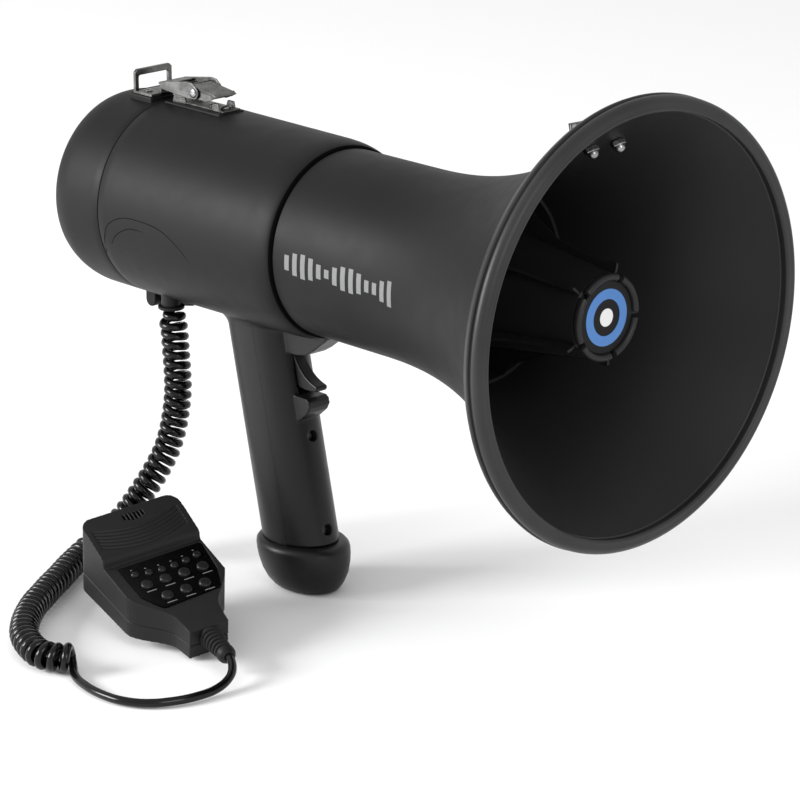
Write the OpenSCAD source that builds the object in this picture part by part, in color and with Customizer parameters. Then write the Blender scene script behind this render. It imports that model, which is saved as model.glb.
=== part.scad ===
/* [Horn] */
// Height of the horn's axis above the surface that the handle stands on
axis_z = 202; // [195:1:210]
// Distance of the horn's mouth ahead of the handle's foot
mouth_x = 245; // [235:1:255]
// Outer radius of the rubber rim around the mouth
rim_r = 115.4; // [114:0.1:118]
// Outer radius of the horn's straight neck
neck_r = 50.8; // [50:0.1:51.5]
// Radius that the flare adds to the neck at the mouth
flare_r = 60.1; // [58:0.1:62]
// Length of the flare
flare_len = 160; // [150:1:165]
// Power of the flare's curve
flare_power = 2.3; // [2:0.1:2.6]
// Wall of the horn
horn_wall = 2.2; // [1.8:0.1:2.6]

/* [Body] */
// Outer radius of the body tube at its front end
body_r_front = 54.5; // [54:0.1:55]
// Outer radius of the body tube at the battery door
body_r_rear = 55.6; // [55:0.1:56]
// Wall of the moulded body
body_wall = 2.6; // [2:0.1:3]
// Station of the seam between the body and the battery door
seam_x = -106.6; // [-108:0.1:-105]
// Length of the battery door behind the seam
cap_len = 48; // [46:1:52]

/* [Handle] */
// Lean of the handle from the vertical, foot towards the mouth
rake = 12.7; // [11:0.1:14]
// Half of the handle's fore and aft size
grip_a = 23.5; // [22:0.1:25]
// Half of the handle's width
grip_b = 18.7; // [17:0.1:20]
// Wall of the handle
grip_wall = 3; // [2.5:0.1:3.5]
// Angle that the trigger turns when it is squeezed
trigger_travel = 5; // [3:0.5:5]

/* [Hand microphone] */
// Width of the microphone's casing
mic_w = 59; // [57:0.5:61]
// Length of the casing up to where it begins to narrow
mic_len = 54; // [53:0.5:55]
// Length of the narrowing end
mic_taper = 34; // [32:0.5:36]
// Width of the casing at its cord end
mic_end_w = 23.4; // [22:0.2:25]
// Outer diameter of the curly cord
coil_od = 16; // [15:0.5:17]
// Diameter of the cord itself
cord_d = 4.6; // [4:0.1:5]

/* [Hidden] */

// Smoothness of round shapes
round_fn = 96;
small_fn = 32;
// Clearance between neighbouring pieces of one body
gap = 0.15;
// Horn stations
flare_x = mouth_x - flare_len;
neck_rear_x = 8;
horn_steps = 24;
// Body stations
nose_x = 14;
nose_len = 16;
body_inner_r = body_r_front - body_wall;
cap_rear_x = seam_x - cap_len;
cap_edge_len = 22;
cap_edge_r = 13;
// Hinge of the battery door
hinge_x = -112;
hinge_z = 143.5;
hinge_r = 4;
hinge_pin_r = 1.5;
hinge_bore_r = 1.56;
// Latch
latch_pin_r = 1.2;
latch_bore_r = 1.26;
lever_pin_x = -95;
lever_pin_z = 264.2;
claw_pin_x = -79;
claw_pin_z = 266;
base_plate_z = 257.7;
// Handle: a point on its centre line, and the front cover's split
grip_x = -16.9;
grip_z = 82.6;
grip_split = 8;
foot_top = 28;
screw_heights = [87.8, 36.4];
// Trigger
trigger_pin_x = -8;
trigger_pin_z = 130;
trigger_pin_r = 1.5;
trigger_bore_r = 1.56;
trigger_half = 3.9;
// Microphone: where its rear corner stands and how it is tipped by its hanger clip
mic_at = [-41.6, -94, 21.4];
mic_tip = [6.2, 12.8, -9.6];
mic_seam_rear = 12.5;
mic_seam_end = 8;
mic_top_rear = 41;
mic_top_step = 32.4;
mic_low_step = 27.4;
mic_low_end = 16.7;
mic_step_u = 27;
mic_mid_v = 2;
// Keys: place along and across the face
small_keys = [for (i = [0:5]) [41.2 - 0.4 * pow(i - 2.5, 2), -16.6 + 7.54 * i]];
medium_keys = [[48.2, -14.7], [48.2, -3.4], [48.2, 7.9], [48.2, 19.2],
    [60, -9.1], [60, 2.3], [60, 13.7]];
small_key_r = 2.2;
medium_key_r = 3.3;
key_slope = 7.6;
key_top = 1.3;
key_travel = 0.8;
// Batteries: eight C cells in a ring
cell_r = 13;
cell_len = 49;
cell_ring_r = 34.6;
cell_x = -99;
// Route of the curly cord's centre line, from the body down to the floor
hang_route = [[-88, -20, 144], [-88, -20, 141.5], [-87, -19, 132], [-86, -19, 120], [-85, -19, 108], [-85, -19, 96],
    [-86, -20, 84], [-87, -22, 73], [-89, -25, 62], [-92, -30, 51], [-95, -36, 41],
    [-98, -43, 31], [-101, -51, 22], [-103.2, -58.5, 16], [-104, -61, 14]];
floor_route = [[-104, -61, 14], [-104.8, -63.5, 12], [-105, -70, 10.5], [-101, -81, 8.4], [-94, -93, 8.2],
    [-86, -105, 8.2], [-78, -118, 8.2], [-70, -130, 8.2], [-62, -142, 8.2], [-52, -154, 8.2],
    [-41, -165, 8.2], [-29, -174, 8.2], [-16, -180, 8.2], [-4, -183, 8.2], [5, -180.5, 8.2],
    [11.5, -174, 8.2]];
// Route of the plain lead from the coil's end to the microphone
lead_route = [[11.8, -173.4, 3.4], [16, -172.6, 2.7], [21, -175.4, 2.6], [27, -180, 2.6],
    [34, -184, 2.6], [43, -186, 2.6], [53, -186, 2.6], [62, -184.4, 2.6], [71, -180, 2.6],
    [77, -174, 2.6], [81, -167, 2.6], [84, -159, 2.6], [85.4, -150, 2.6], [85.6, -142, 2.8],
    [84.6, -134, 4], [82, -127, 6.2], [77, -121.6, 8.6], [71.4, -118.6, 10.1], [68, -117.6, 10.4]];

function horn_r(x) = x <= flare_x ? neck_r
    : neck_r + flare_r * pow((x - flare_x) / flare_len, flare_power);
function lerp(a, b, t) = a + (b - a) * t;
function ellipse(a, b, n = 48) = [for (i = [0:n - 1]) [a * cos(360 * i / n), b * sin(360 * i / n)]];
function grip_centre(z) = grip_x + (grip_z - z) * tan(rake);
function polar(r, a) = [r * cos(a), r * sin(a)];

// Tube along a route: one ring of points for each point of the route
function unit(v) = v / norm(v);
function tangent(p, i) = unit(p[min(i + 1, len(p) - 1)] - p[max(i - 1, 0)]);
function side_of(t) = abs(t[2]) > 0.9 ? unit(cross(t, [1, 0, 0])) : unit(cross(t, [0, 0, 1]));
function transport(s, t) = unit(s - t * (s * t));
function sides(p, i = 0, s = undef) =
    let (t = tangent(p, i), here = is_undef(s) ? side_of(t) : transport(s, t))
    i == len(p) - 1 ? [here] : concat([here], sides(p, i + 1, here));

module tube(route, r, n) {
    s = sides(route);
    rings = len(route);
    points = [for (i = [0:rings - 1]) let (t = tangent(route, i), b = cross(t, s[i]))
        for (k = [0:n - 1]) route[i] + r * (cos(360 * k / n) * s[i] + sin(360 * k / n) * b)];
    walls = [for (i = [0:rings - 2]) for (k = [0:n - 1])
        let (a = i * n + k, b = i * n + (k + 1) % n) [a, b, b + n, a + n]];
    first = [[for (k = [n - 1:-1:0]) k]];
    last = [[for (k = [0:n - 1]) (rings - 1) * n + k]];
    polyhedron(points, concat(first, walls, last), convexity = 6);
}

// Turns a half outline [along the horn, radius] about the horn's axis
module about_axis(points, fn = round_fn) {
    translate([0, 0, axis_z]) rotate([0, 90, 0]) rotate([0, 0, 180])
        rotate_extrude($fn = fn) polygon([for (p = points) [p[1], p[0]]]);
}

module along_axis(x0, x1, r, fn = round_fn) {
    translate([x0, 0, axis_z]) rotate([0, 90, 0]) cylinder(h = x1 - x0, r = r, $fn = fn);
}

// Cylinder across the object, from y0 to y1
module cross_pin(x, z, y0, y1, r, fn = small_fn) {
    translate([x, y0, z]) rotate([-90, 0, 0]) cylinder(h = y1 - y0, r = r, $fn = fn);
}

// Plate with an outline in the upright plane, from y0 to y1
module upright(points, y0, y1) {
    translate([0, y1, 0]) rotate([90, 0, 0]) linear_extrude(y1 - y0) polygon(points);
}

module horn_bell() {
    outer = [for (i = [0:horn_steps]) let (x = lerp(flare_x, mouth_x - 2, i / horn_steps))
        [x, horn_r(x)]];
    inner = [for (i = [horn_steps:-1:0]) let (x = lerp(flare_x, mouth_x - 2, i / horn_steps))
        [x, horn_r(x) - horn_wall]];
    color("#2b2b2d")
        difference() {
            about_axis(concat([[neck_rear_x, neck_r - horn_wall], [neck_rear_x, neck_r]],
                outer, inner));
            bolt_holes();
        }
}

// Rubber channel that grips the horn's edge
rim_bead = 5;
module rim_trim() {
    bead_x = mouth_x - 1;
    bead_r = rim_r - rim_bead;
    bead = [for (a = [100:-10:-70]) [bead_x, bead_r] + rim_bead * [cos(a), sin(a)]];
    groove = [[mouth_x - 2.6, rim_r - 0.9], [mouth_x - 3.4, rim_r - 0.9]];
    skirt = [[mouth_x - 3.8, rim_r - 0.3], [mouth_x - 8, rim_r - 3], [mouth_x - 13, rim_r - 8.4],
        [mouth_x - 13.4, rim_r - 10]];
    hug_out = [for (i = [0:4]) let (x = lerp(mouth_x - 13.4, mouth_x - 1.9, i / 4))
        [x, horn_r(x) + gap]];
    hug_in = [for (i = [0:3]) let (x = lerp(mouth_x - 1.9, mouth_x - 8, i / 3))
        [x, horn_r(x) - horn_wall - gap]];
    lip = [[mouth_x - 8, horn_r(mouth_x - 8) - horn_wall - 2], [mouth_x, bead_r - 4.6]];
    color("#38383a")
        about_axis(concat([for (i = [len(bead) - 1:-1:0]) bead[i]], groove, skirt, hug_out, hug_in, lip));
}

// Central reflector: a closed cup that widens towards the rear and is held by five fins
cup_front_x = 220;
cup_rear_x = 140;
cup_front_r = 21.6;
cup_rear_r = 31.4;
cup_wall = 1.8;
fin_angles = [for (i = [0:4]) 66 + 72 * i];
cup_seat = [for (i = [0:4]) let (x = cup_rear_x - 12 + 3 * i) [x, horn_r(x) - horn_wall - gap]];
module reflector_cup() {
    fin = [[cup_rear_x - 11, cup_rear_r], [cup_rear_x, cup_rear_r - 0.8],
        [cup_front_x - 0.6, cup_front_r - 0.8], [cup_front_x - 0.6, cup_front_r + 3],
        [200, cup_front_r + 4.4], [150, 43], [cup_rear_x - 0.4, cup_seat[4][1] - 0.9],
        [cup_rear_x - 11, cup_seat[0][1] - 0.7]];
    color("#1c1c1e")
        difference() {
            union() {
                about_axis([[cup_rear_x, cup_rear_r - cup_wall], [cup_rear_x, cup_rear_r],
                    [cup_front_x, cup_front_r], [cup_front_x, 0], [cup_front_x - 3, 0],
                    [cup_front_x - 3, cup_front_r - cup_wall]]);
                about_axis(concat([[cup_seat[0][0], cup_seat[0][1] - 1.8]], cup_seat,
                    [[cup_seat[4][0], cup_seat[4][1] - 1.8]]));
                for (a = fin_angles)
                    translate([0, 0, axis_z]) rotate([a, 0, 0]) upright(fin, -0.7, 0.7);
            }
            along_axis(cup_front_x - 4, cup_front_x + 1, 2.6, small_fn);
        }
}

// Rounded ring in five lobes around the emblem
module reflector_ring() {
    x0 = cup_front_x + gap;
    color("#3a3a3c")
        difference() {
            about_axis(concat([[x0, 18.9], [x0, 22.4]],
                [for (a = [90:-15:0]) [x0 + 1, 19.4] + 3 * [cos(a), sin(a)]], [[x0 + 4, 18.9]]));
            for (a = fin_angles)
                translate([x0 + 2, 0, axis_z]) rotate([a, 0, 0]) translate([-4, -0.8, 17])
                    cube([8, 1.6, 8]);
        }
}

module emblem_disc() {
    x0 = cup_front_x + gap;
    color("#151517")
        difference() {
            along_axis(x0, x0 + 2.6, 18.7);
            for (r = [7, 12])
                about_axis([[x0 + 2.2, r], [x0 + 3, r], [x0 + 3, r + 2.4], [x0 + 2.2, r + 2.4]]);
        }
}

// Tube that leads the driver's sound into the cup
flange_r = neck_r - horn_wall - gap;
flange_screw_r = 38.5;
module flange_holes() {
    for (a = [30:60:330])
        translate([10, 0, axis_z]) rotate([a, 0, 0]) translate([0, 0, flange_screw_r])
            rotate([0, 90, 0]) cylinder(h = 15, r = 1.6, $fn = small_fn);
}

module throat_tube() {
    color("#2a2a2c")
        difference() {
            union() {
                about_axis([[20, 0], [20, flange_r], [23, flange_r], [23, 18], [30, 14], [196, 17],
                    [196, 0]]);
                for (a = [0:60:300])
                    translate([0, 0, axis_z]) rotate([a, 0, 0])
                        upright([[22, 15], [22, 40], [46, 15]], -0.8, 0.8);
            }
            about_axis([[19, 0], [19, 12], [30, 10], [197, 15], [197, 0]]);
            flange_holes();
        }
}

module driver_magnet() {
    color("#5a5a5e")
        difference() {
            along_axis(-16, -2, 36);
            along_axis(-17, -1, 16);
        }
}

// Back plate with its pole, and front plate with the basket
module driver_pole_plate() {
    color("silver") {
        along_axis(-22, -16.1, 32);
        along_axis(-16.2, 1.5, 11);
        difference() {
            about_axis([[-1.9, 13.4], [-1.9, 32], [2, 33], [15, 46], [18.5, 46], [18.5, 34], [4, 27],
                [2, 27], [2, 13.4]]);
            flange_holes();
        }
    }
}

// Dome, voice coil and clamping rim
module driver_diaphragm() {
    dome = [for (a = [0:10:70]) [4.4 + 6 * cos(a), 17 * sin(a)]];
    inside = [for (a = [70:-10:0]) [3.6 + 6 * cos(a), 16.2 * sin(a)]];
    color("#b08a4a")
        difference() {
            union() {
                about_axis(concat(dome, [[4.4, 22], [19, 30], [19.8, 46], [18.6, 46], [18.6, 33], [18, 30.6],
                    [3.6, 22.6]], inside));
                about_axis([[-6, 11.7], [-6, 12.4], [8.1, 12.4], [8.1, 11.7]]);
            }
            flange_holes();
        }
}

module driver_screws() {
    color("silver")
        for (a = [30:60:330])
            translate([23.1, 0, axis_z]) rotate([a, 0, 0]) translate([0, 0, flange_screw_r])
                rotate([0, 90, 0]) {
                    translate([0, 0, -12]) cylinder(h = 13, r = 1.5, $fn = small_fn);
                    cylinder(h = 2, r = 2.8, $fn = small_fn);
                }
}

// Solid shape of the handle, grown by g and cut off at the height z1
module grip_solid(g, z0, z1) {
    intersection() {
        translate([grip_centre(0), 0, 0]) rotate([0, -rake, 0]) translate([0, 0, -20])
            linear_extrude(200) polygon(ellipse(grip_a + g, grip_b + g));
        translate([-100, -40, z0]) cube([200, 80, z1 - z0]);
    }
}

// Slab on the front side of the handle's split plane
module front_side(offset_x) {
    translate([grip_centre(0), 0, 0]) rotate([0, -rake, 0]) translate([grip_split + offset_x, -40, -30])
        cube([70, 80, 240]);
}

front_top_z = 150;
trigger_slot_half = 4.5;
// Moulded guard and chin that stand ahead of the grip around the trigger
module guard_block() {
    half = 7.5;
    upright([[-4, 96], [1.5, 96.5], [6, 99.6], [10.2, 103.2], [12, 106.6], [11.4, 109.8], [9, 111.2],
        [-8, 111.2]], -half, half);
    upright([[-14, 134.5], [2, 134.5], [8.5, 135.7], [14, 139], [22, 145], [27, 149.2], [-14, 149.2]],
        -half, half);
}

nose_r = 51.6;
body_profile_front = [for (a = [90:-15:15])
    [nose_x + nose_len * cos(a), nose_r + (body_r_front - nose_r) * sin(a)]];
module body_shell() {
    color("#2b2b2d")
        difference() {
            union() {
                about_axis(concat([[seam_x, body_r_rear]], body_profile_front,
                    [[nose_x + nose_len, neck_r + 0.4], [nose_x + nose_len - 3, neck_r + 0.4],
                    [nose_x + nose_len - 3, 0], [seam_x, 0]]));
                difference() {
                    grip_solid(0, foot_top, 165);
                    front_side(-gap);
                }
                rear_fillet();
                hinge_leaf();
                latch_pad();
                translate([gland_x, gland_y, 146.6]) cylinder(h = 8, r = 9.2, $fn = small_fn);
            }
            body_inside();
            intersection() {
                grip_solid(-grip_wall, foot_top - 1, 151);
                translate([-100, -40, 0]) cube([200, 80, 146]);
            }
            cross_pin(hinge_x, hinge_z, -9, 9, 1.52);
            translate([gland_x, gland_y, 140]) cylinder(h = 20, r = 5.6, $fn = small_fn);
            rivet_holes();
            trigger_room();
        }
    color("#2b2b2d")
        switch_post();
}

// Web across the hollow handle behind the trigger's switch and spring
module switch_post() {
    intersection() {
        grip_solid(-1, 90, 150);
        translate([-27, -30, 108]) cube([4, 60, 28]);
    }
}

// Space inside the body tube
module body_inside() {
    about_axis([[seam_x - 1, 0], [seam_x - 1, body_r_rear - body_wall], [nose_x - 4, body_inner_r],
        [nose_x - 4, neck_r + 0.2], [nose_x + nose_len + 1, neck_r + 0.2], [nose_x + nose_len + 1, 0]]);
}

// Web that rounds the corner between the tube and the back of the handle
module rear_fillet() {
    corner_x = grip_centre(148) - grip_a / cos(rake);
    arc = [for (a = [0:15:90]) [corner_x - 15 + 16 * sin(a), 132.2 + 15 * cos(a)]];
    upright(concat(arc, [[corner_x + 6, 131], [corner_x + 6, 151], [corner_x - 15, 151]]), -12, 12);
}

// Half of the door's hinge that is moulded on the body
module hinge_leaf() {
    difference() {
        union() {
            upright([[hinge_x, hinge_z - hinge_r], [-96, hinge_z - 2], [-84, hinge_z + 0.5], [-84, 149],
                [seam_x + 0.2, 149], [seam_x + 0.2, hinge_z + 2.5], [hinge_x, hinge_z + hinge_r]], -8, 8);
            cross_pin(hinge_x, hinge_z, -8, 8, hinge_r);
        }
        along_axis(-111, seam_x, 58.9);
        translate([-111.8, -10, 146.2]) cube([5.3, 20, 6]);
    }
}

// Flat moulded on top of the body under the latch
module latch_pad() {
    translate([seam_x + 3, -9, axis_z + 52]) cube([46, 18, base_plate_z - axis_z - 52]);
}

module rivet_holes() {
    for (x = latch_rivets)
        translate([x, 0, axis_z + 48]) cylinder(h = 14, r = 1.3, $fn = small_fn);
}

// Room for the trigger, its switch and its spring
module trigger_room() {
    translate([-26, -trigger_slot_half, 111.3]) cube([60, 2 * trigger_slot_half, 23.1]);
}

module handle_front() {
    color("#252527")
        difference() {
            union() {
                intersection() {
                    grip_solid(0, foot_top, 145.8);
                    front_side(gap);
                }
                intersection() {
                    guard_block();
                    front_side(gap);
                }
            }
            intersection() {
                grip_solid(-grip_wall, foot_top - 1, 144);
                translate([-100, -40, 0]) cube([200, 80, 110.5]);
            }
            along_axis(-20, 60, body_r_front + 0.3);
            trigger_room();
            translate([11, 0, 0]) cross_pin(0, 123.2, -30, 30, 11.4, round_fn);
            for (z = screw_heights)
                handle_screw_hole(z);
            cross_pin(trigger_pin_x, trigger_pin_z, -12, 12, 1.52);
        }
}

// Counterbored hole for a screw that enters the handle from the front
module handle_screw_hole(z) {
    translate([grip_centre(z) + grip_a, 0, z]) rotate([0, -90 - rake, 0]) {
        translate([0, 0, -8]) cylinder(h = 14, r = 3.1, $fn = small_fn);
        cylinder(h = 30, r = 1.7, $fn = small_fn);
    }
}

module handle_screws() {
    color("#8a8a8c")
        for (z = screw_heights)
            translate([grip_centre(z) + grip_a, 0, z]) rotate([0, -90 - rake, 0]) {
                translate([0, 0, 3.6]) cylinder(h = 2.3, r = 2.8, $fn = small_fn);
                translate([0, 0, 5.8]) cylinder(h = 20, r = 1.5, $fn = small_fn);
            }
}

// Rounded foot: widest at its lip, drawn in to a flat face
foot_sections = [[0, 19, 13.5], [1.5, 22, 16.5], [5, 25, 19.6], [10, 27.2, 21.6], [16, 28.6, 22.8],
    [21, 29, 23.2], [25, 28.4, 22.6], [foot_top - 0.4, 26.4, 20.8]];
module handle_foot() {
    color("#1f1f21")
        hull()
            for (s = foot_sections)
                translate([grip_centre(0) - s[0] * tan(rake) * 0.5 - 1.7, 0, s[0]])
                    linear_extrude(0.3) polygon(ellipse(s[1], s[2], 40));
}

trigger_outline = [[-12, 132.6], [-5, 133.2], [-2.4, 129], [1.5, 124.4], [6, 120.9], [11, 118.8],
    [13.2, 118.2], [14, 116.8], [13, 115.2], [10, 114.6], [4, 114.4], [-5, 115.6], [-10.5, 117],
    [-12.4, 124]];
module trigger() {
    color("#333335")
        difference() {
            upright(trigger_outline, -trigger_half, trigger_half);
            cross_pin(trigger_pin_x, trigger_pin_z, -10, 10, trigger_bore_r);
        }
}

module trigger_pin() {
    color("silver") cross_pin(trigger_pin_x, trigger_pin_z, -9.5, 9.5, trigger_pin_r);
}

module trigger_spring() {
    color("silver")
        translate([-13.5, 0, 127]) rotate([0, -90, 0])
            for (i = [0:7])
                translate([0, 0, i * 1.2]) rotate_extrude($fn = small_fn) translate([2.2, 0])
                    polygon([[-0.4, 0], [0, -0.61], [0.4, 0], [0, 0.61]]);
}

module trigger_switch() {
    color("#1a1a1a") {
        translate([-22.5, -3, 112]) cube([8, 6, 11]);
        translate([-14.6, -1.2, 117.6]) cube([1.3, 2.4, 2.4]);
    }
}

// Half outline of the battery door, drawn in by w
function cap_outline(w) = concat([[seam_x - 0.3, body_r_rear - w],
        [cap_rear_x + cap_edge_len, body_r_rear - w]],
    [for (a = [75:-15:0]) [cap_rear_x + cap_edge_len - (cap_edge_len - w) * cos(a),
        body_r_rear - cap_edge_r + (cap_edge_r - w) * sin(a)]]);

module rear_cap() {
    outer = cap_outline(0);
    inner = cap_outline(2.6);
    color("#29292b")
        difference() {
            union() {
                difference() {
                    union() {
                        about_axis(concat([[seam_x - 0.3, 0]], outer, [[cap_rear_x, 0]]));
                        strap_pad();
                    }
                    about_axis(concat([[seam_x, 0], [seam_x, body_r_rear - 2.6]],
                        [for (i = [1:len(inner) - 1]) inner[i]], [[cap_rear_x + 2.6, 0]]));
                    translate([hinge_x - 5, -9, 140]) cube([12, 18, 14]);
                    about_axis([[seam_x - 1.6, body_r_rear - 2], [seam_x - 1.6, body_r_rear - 0.6],
                        [seam_x, body_r_rear - 0.6], [seam_x, body_r_rear - 2]]);
                }
                for (s = [-1, 1]) hinge_lug(s);
            }
            cross_pin(hinge_x, hinge_z, -20, 20, hinge_bore_r);
            for (y = strap_screw_y)
                translate([strap_screw_x, y, axis_z + 46]) cylinder(h = 20, r = 1.3, $fn = small_fn);
        }
}

module hinge_lug(s) {
    y0 = s > 0 ? 9.2 : -15;
    cross_pin(hinge_x, hinge_z, y0, y0 + 5.8, hinge_r);
    translate([hinge_x - hinge_r, y0, hinge_z]) cube([2 * hinge_r, 5.8, 5.2]);
}

// Flat on top of the door under the strap loop
strap_plate_z = 259.2;
strap_screw_x = -118;
strap_screw_y = [-8, 8];
module strap_pad() {
    translate([-131, -16, axis_z + 50]) cube([21.5, 32, strap_plate_z - axis_z - 50]);
}

module cap_gasket() {
    color("#101010")
        difference() {
            about_axis([[seam_x - 1.55, body_r_rear - 1.95], [seam_x - 1.55, body_r_rear - 0.65],
                [seam_x - 0.15, body_r_rear - 0.65], [seam_x - 0.15, body_r_rear - 1.95]]);
            translate([hinge_x - 5, -9.2, 140]) cube([12, 18.4, 14]);
        }
}

module hinge_pin() {
    color("silver") cross_pin(hinge_x, hinge_z, -14, 14, hinge_pin_r);
}

// Stamped loop for the shoulder strap; its foot is also the latch's keeper
module strap_loop() {
    x0 = -125;
    color("#77777a")
        difference() {
            union() {
                translate([x0, -13.1, strap_plate_z]) cube([15.4, 26.2, 1.5]);
                translate([x0, -13.1, strap_plate_z]) cube([2, 2.4, 13.3]);
                translate([x0, 10.7, strap_plate_z]) cube([2, 2.4, 13.3]);
                translate([x0, -13.1, strap_plate_z + 9.8]) cube([2, 26.2, 3.5]);
                translate([x0 + 13.6, -6, strap_plate_z]) cube([1.8, 12, 5.2]);
            }
            for (y = strap_screw_y)
                translate([strap_screw_x, y, strap_plate_z - 1]) cylinder(h = 4, r = 1.3, $fn = small_fn);
        }
    color("silver")
        for (y = strap_screw_y)
            translate([strap_screw_x, y, 0]) {
                translate([0, 0, strap_plate_z + 1.5]) cylinder(h = 1.2, r = 2.3, $fn = small_fn);
                translate([0, 0, axis_z + 52])
                    cylinder(h = strap_plate_z - axis_z - 50, r = 1.28, $fn = small_fn);
            }
}

// Base of the draw latch: plate, two ears and rivets
latch_rivets = [-73, -63];
module latch_base() {
    z0 = base_plate_z + 0.05;
    color("#9a9a9e")
        difference() {
            union() {
                translate([-99.5, -6.3, z0]) cube([42, 12.6, 1.1]);
                for (s = [-1, 1])
                    upright([[-99.5, z0], [-88, z0], [-91.8, lever_pin_z + 2.4], [-94, lever_pin_z + 3],
                        [-96.4, lever_pin_z + 2.4]], s > 0 ? 5.3 : -6.3, s > 0 ? 6.3 : -5.3);
                for (s = [-1, 1])
                    upright([[-68, z0], [-61, z0], [-62, z0 + 4.4], [-66.4, z0 + 4.4]],
                        s > 0 ? 4.6 : -6.1, s > 0 ? 6.1 : -4.6);
                for (x = latch_rivets) {
                    translate([x, 0, z0 + 1]) cylinder(h = 1.2, r = 2.4, $fn = small_fn);
                    translate([x, 0, axis_z + 53]) cylinder(h = 4, r = 1.25, $fn = small_fn);
                }
            }
            cross_pin(lever_pin_x, lever_pin_z, -10, 10, latch_pin_r + 0.02);
        }
}

module latch_lever() {
    outline = [[-98, lever_pin_z - 2.4], [-96, lever_pin_z - 3.2], [-93, lever_pin_z - 3.2], [-80, 262.6],
        [-70, 262.4], [-65, 264.4], [-63.2, 266.2], [-64, 267.2], [-83.6, 269.9], [-86, 269],
        [-97.6, lever_pin_z + 2.6]];
    top = [[-65, 264.4], [-61.6, 266], [-64, 267.2], [-83.6, 269.9], [-84, 269], [-66, 266.2]];
    color("#8a8a8e")
        difference() {
            union() {
                upright(outline, -7.5, -6.5);
                upright(outline, 6.5, 7.5);
                upright(top, -7.5, 7.5);
            }
            cross_pin(lever_pin_x, lever_pin_z, -10, 10, latch_bore_r);
            cross_pin(claw_pin_x, claw_pin_z, -10, 10, latch_pin_r + 0.02);
        }
}

module latch_lever_pin() {
    color("silver") cross_pin(lever_pin_x, lever_pin_z, -7.8, 7.8, latch_pin_r);
}

// Draw claw: two boat-shaped cheeks joined by a web that reaches over the keeper
module latch_claw() {
    round_front = [for (a = [60:-20:-80]) [claw_pin_x, claw_pin_z] + 3.6 * [cos(a), sin(a)]];
    cheek = concat([[-107.6, 264], [-107, 268], [-84, 271.6], [-80, 271.2]], round_front, [[-84, 262.2]]);
    color("#808084")
        difference() {
            union() {
                upright(cheek, -9, -8);
                upright(cheek, 8, 9);
                translate([-112, -6, 265.1]) cube([6.2, 12, 1.4]);
                upright([[-107.2, 265.1], [-98, 267.4], [-98, 268.8], [-107.2, 267.9]], -8.4, 8.4);
            }
            cross_pin(claw_pin_x, claw_pin_z, -12, 12, latch_bore_r);
        }
}

module latch_claw_pin() {
    color("silver")
        for (s = [-1, 1]) {
            cross_pin(claw_pin_x, claw_pin_z, s > 0 ? 6.5 : -9.6, s > 0 ? 9.6 : -6.5, latch_pin_r);
            cross_pin(claw_pin_x, claw_pin_z, s > 0 ? 9.15 : -9.9, s > 0 ? 9.9 : -9.15, 2.6);
        }
}

// Strap bracket behind the rim, held by two bolts through the horn
bracket_x = 217;
bracket_y = 9.5;
bracket_slope = 34;
bolt_r = 1.95;
module on_horn_top() {
    translate([bracket_x, 0, axis_z + horn_r(bracket_x)]) rotate([0, -bracket_slope, 0]) children();
}

module bolt_holes() {
    on_horn_top()
        for (s = [-1, 1])
            translate([0, s * bracket_y, -16]) cylinder(h = 30, r = bolt_r + 0.1, $fn = small_fn);
}

module strap_bracket() {
    cheek = [[208.5, 299.8], [209.8, 287.3], [211, 288], [221.5, 295.2], [223, 298], [221, 302.2]];
    color("#8c8c90")
        difference() {
            union() {
                on_horn_top() translate([-6, -14.2, 0.4]) cube([11, 28.4, 1.6]);
                upright(cheek, -14.2, -12.8);
                upright(cheek, 12.8, 14.2);
                upright([[208.5, 299.8], [209.1, 294], [210.6, 294], [210.2, 300.2]], -14.2, 14.2);
            }
            bolt_holes();
        }
}

module bracket_screws() {
    color("silver")
        on_horn_top()
            for (s = [-1, 1])
                translate([0, s * bracket_y, 0]) {
                    translate([0, 0, 2.05]) cylinder(h = 1.8, r = 3.2, $fn = small_fn);
                    translate([0, 0, -11]) cylinder(h = 14, r = bolt_r, $fn = small_fn);
                }
}

module bracket_nuts() {
    color("silver")
        on_horn_top()
            for (s = [-1, 1])
                translate([0, s * bracket_y, -5.85])
                    difference() {
                        cylinder(h = 3.2, r = 4, $fn = 6);
                        translate([0, 0, -1]) cylinder(h = 5, r = bolt_r + 0.05, $fn = small_fn);
                    }
}

board_peg_r = 45;
module battery_holder() {
    color("#303032")
        difference() {
            union() {
                along_axis(-104.5, -44, 52.2);
                for (a = [45:90:315])
                    translate([-45, 0, axis_z]) rotate([a, 0, 0]) translate([0, 0, board_peg_r])
                        rotate([0, 90, 0]) {
                            cylinder(h = 8.9, r = 3, $fn = small_fn);
                            cylinder(h = 12, r = 1.5, $fn = small_fn);
                        }
            }
            for (a = [0:45:315])
                translate([cell_x - 0.5, 0, axis_z]) rotate([a + 22.5, 0, 0]) translate([0, 0, cell_ring_r])
                    rotate([0, 90, 0]) cylinder(h = cell_len + 1.6, r = cell_r + 0.3, $fn = round_fn);
            along_axis(-105, -98, 40);
            along_axis(-110, -40, 16);
        }
}

module battery_cells() {
    color("#b5752f")
        for (a = [0:45:315])
            translate([cell_x, 0, axis_z]) rotate([a + 22.5, 0, 0]) translate([0, 0, cell_ring_r])
                rotate([0, 90, 0]) {
                    cylinder(h = cell_len - 2, r = cell_r, $fn = 48);
                    cylinder(h = cell_len, r = 3.4, $fn = small_fn);
                }
}

module contact_springs() {
    color("silver") {
        along_axis(-104.4, -103.3, 39.7);
        for (a = [0:45:315])
            translate([-103.4, 0, axis_z]) rotate([a + 22.5, 0, 0]) translate([0, 0, cell_ring_r])
                rotate([0, 90, 0]) cylinder(h = 4.2, r1 = 5, r2 = 3, $fn = small_fn);
    }
}

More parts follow.
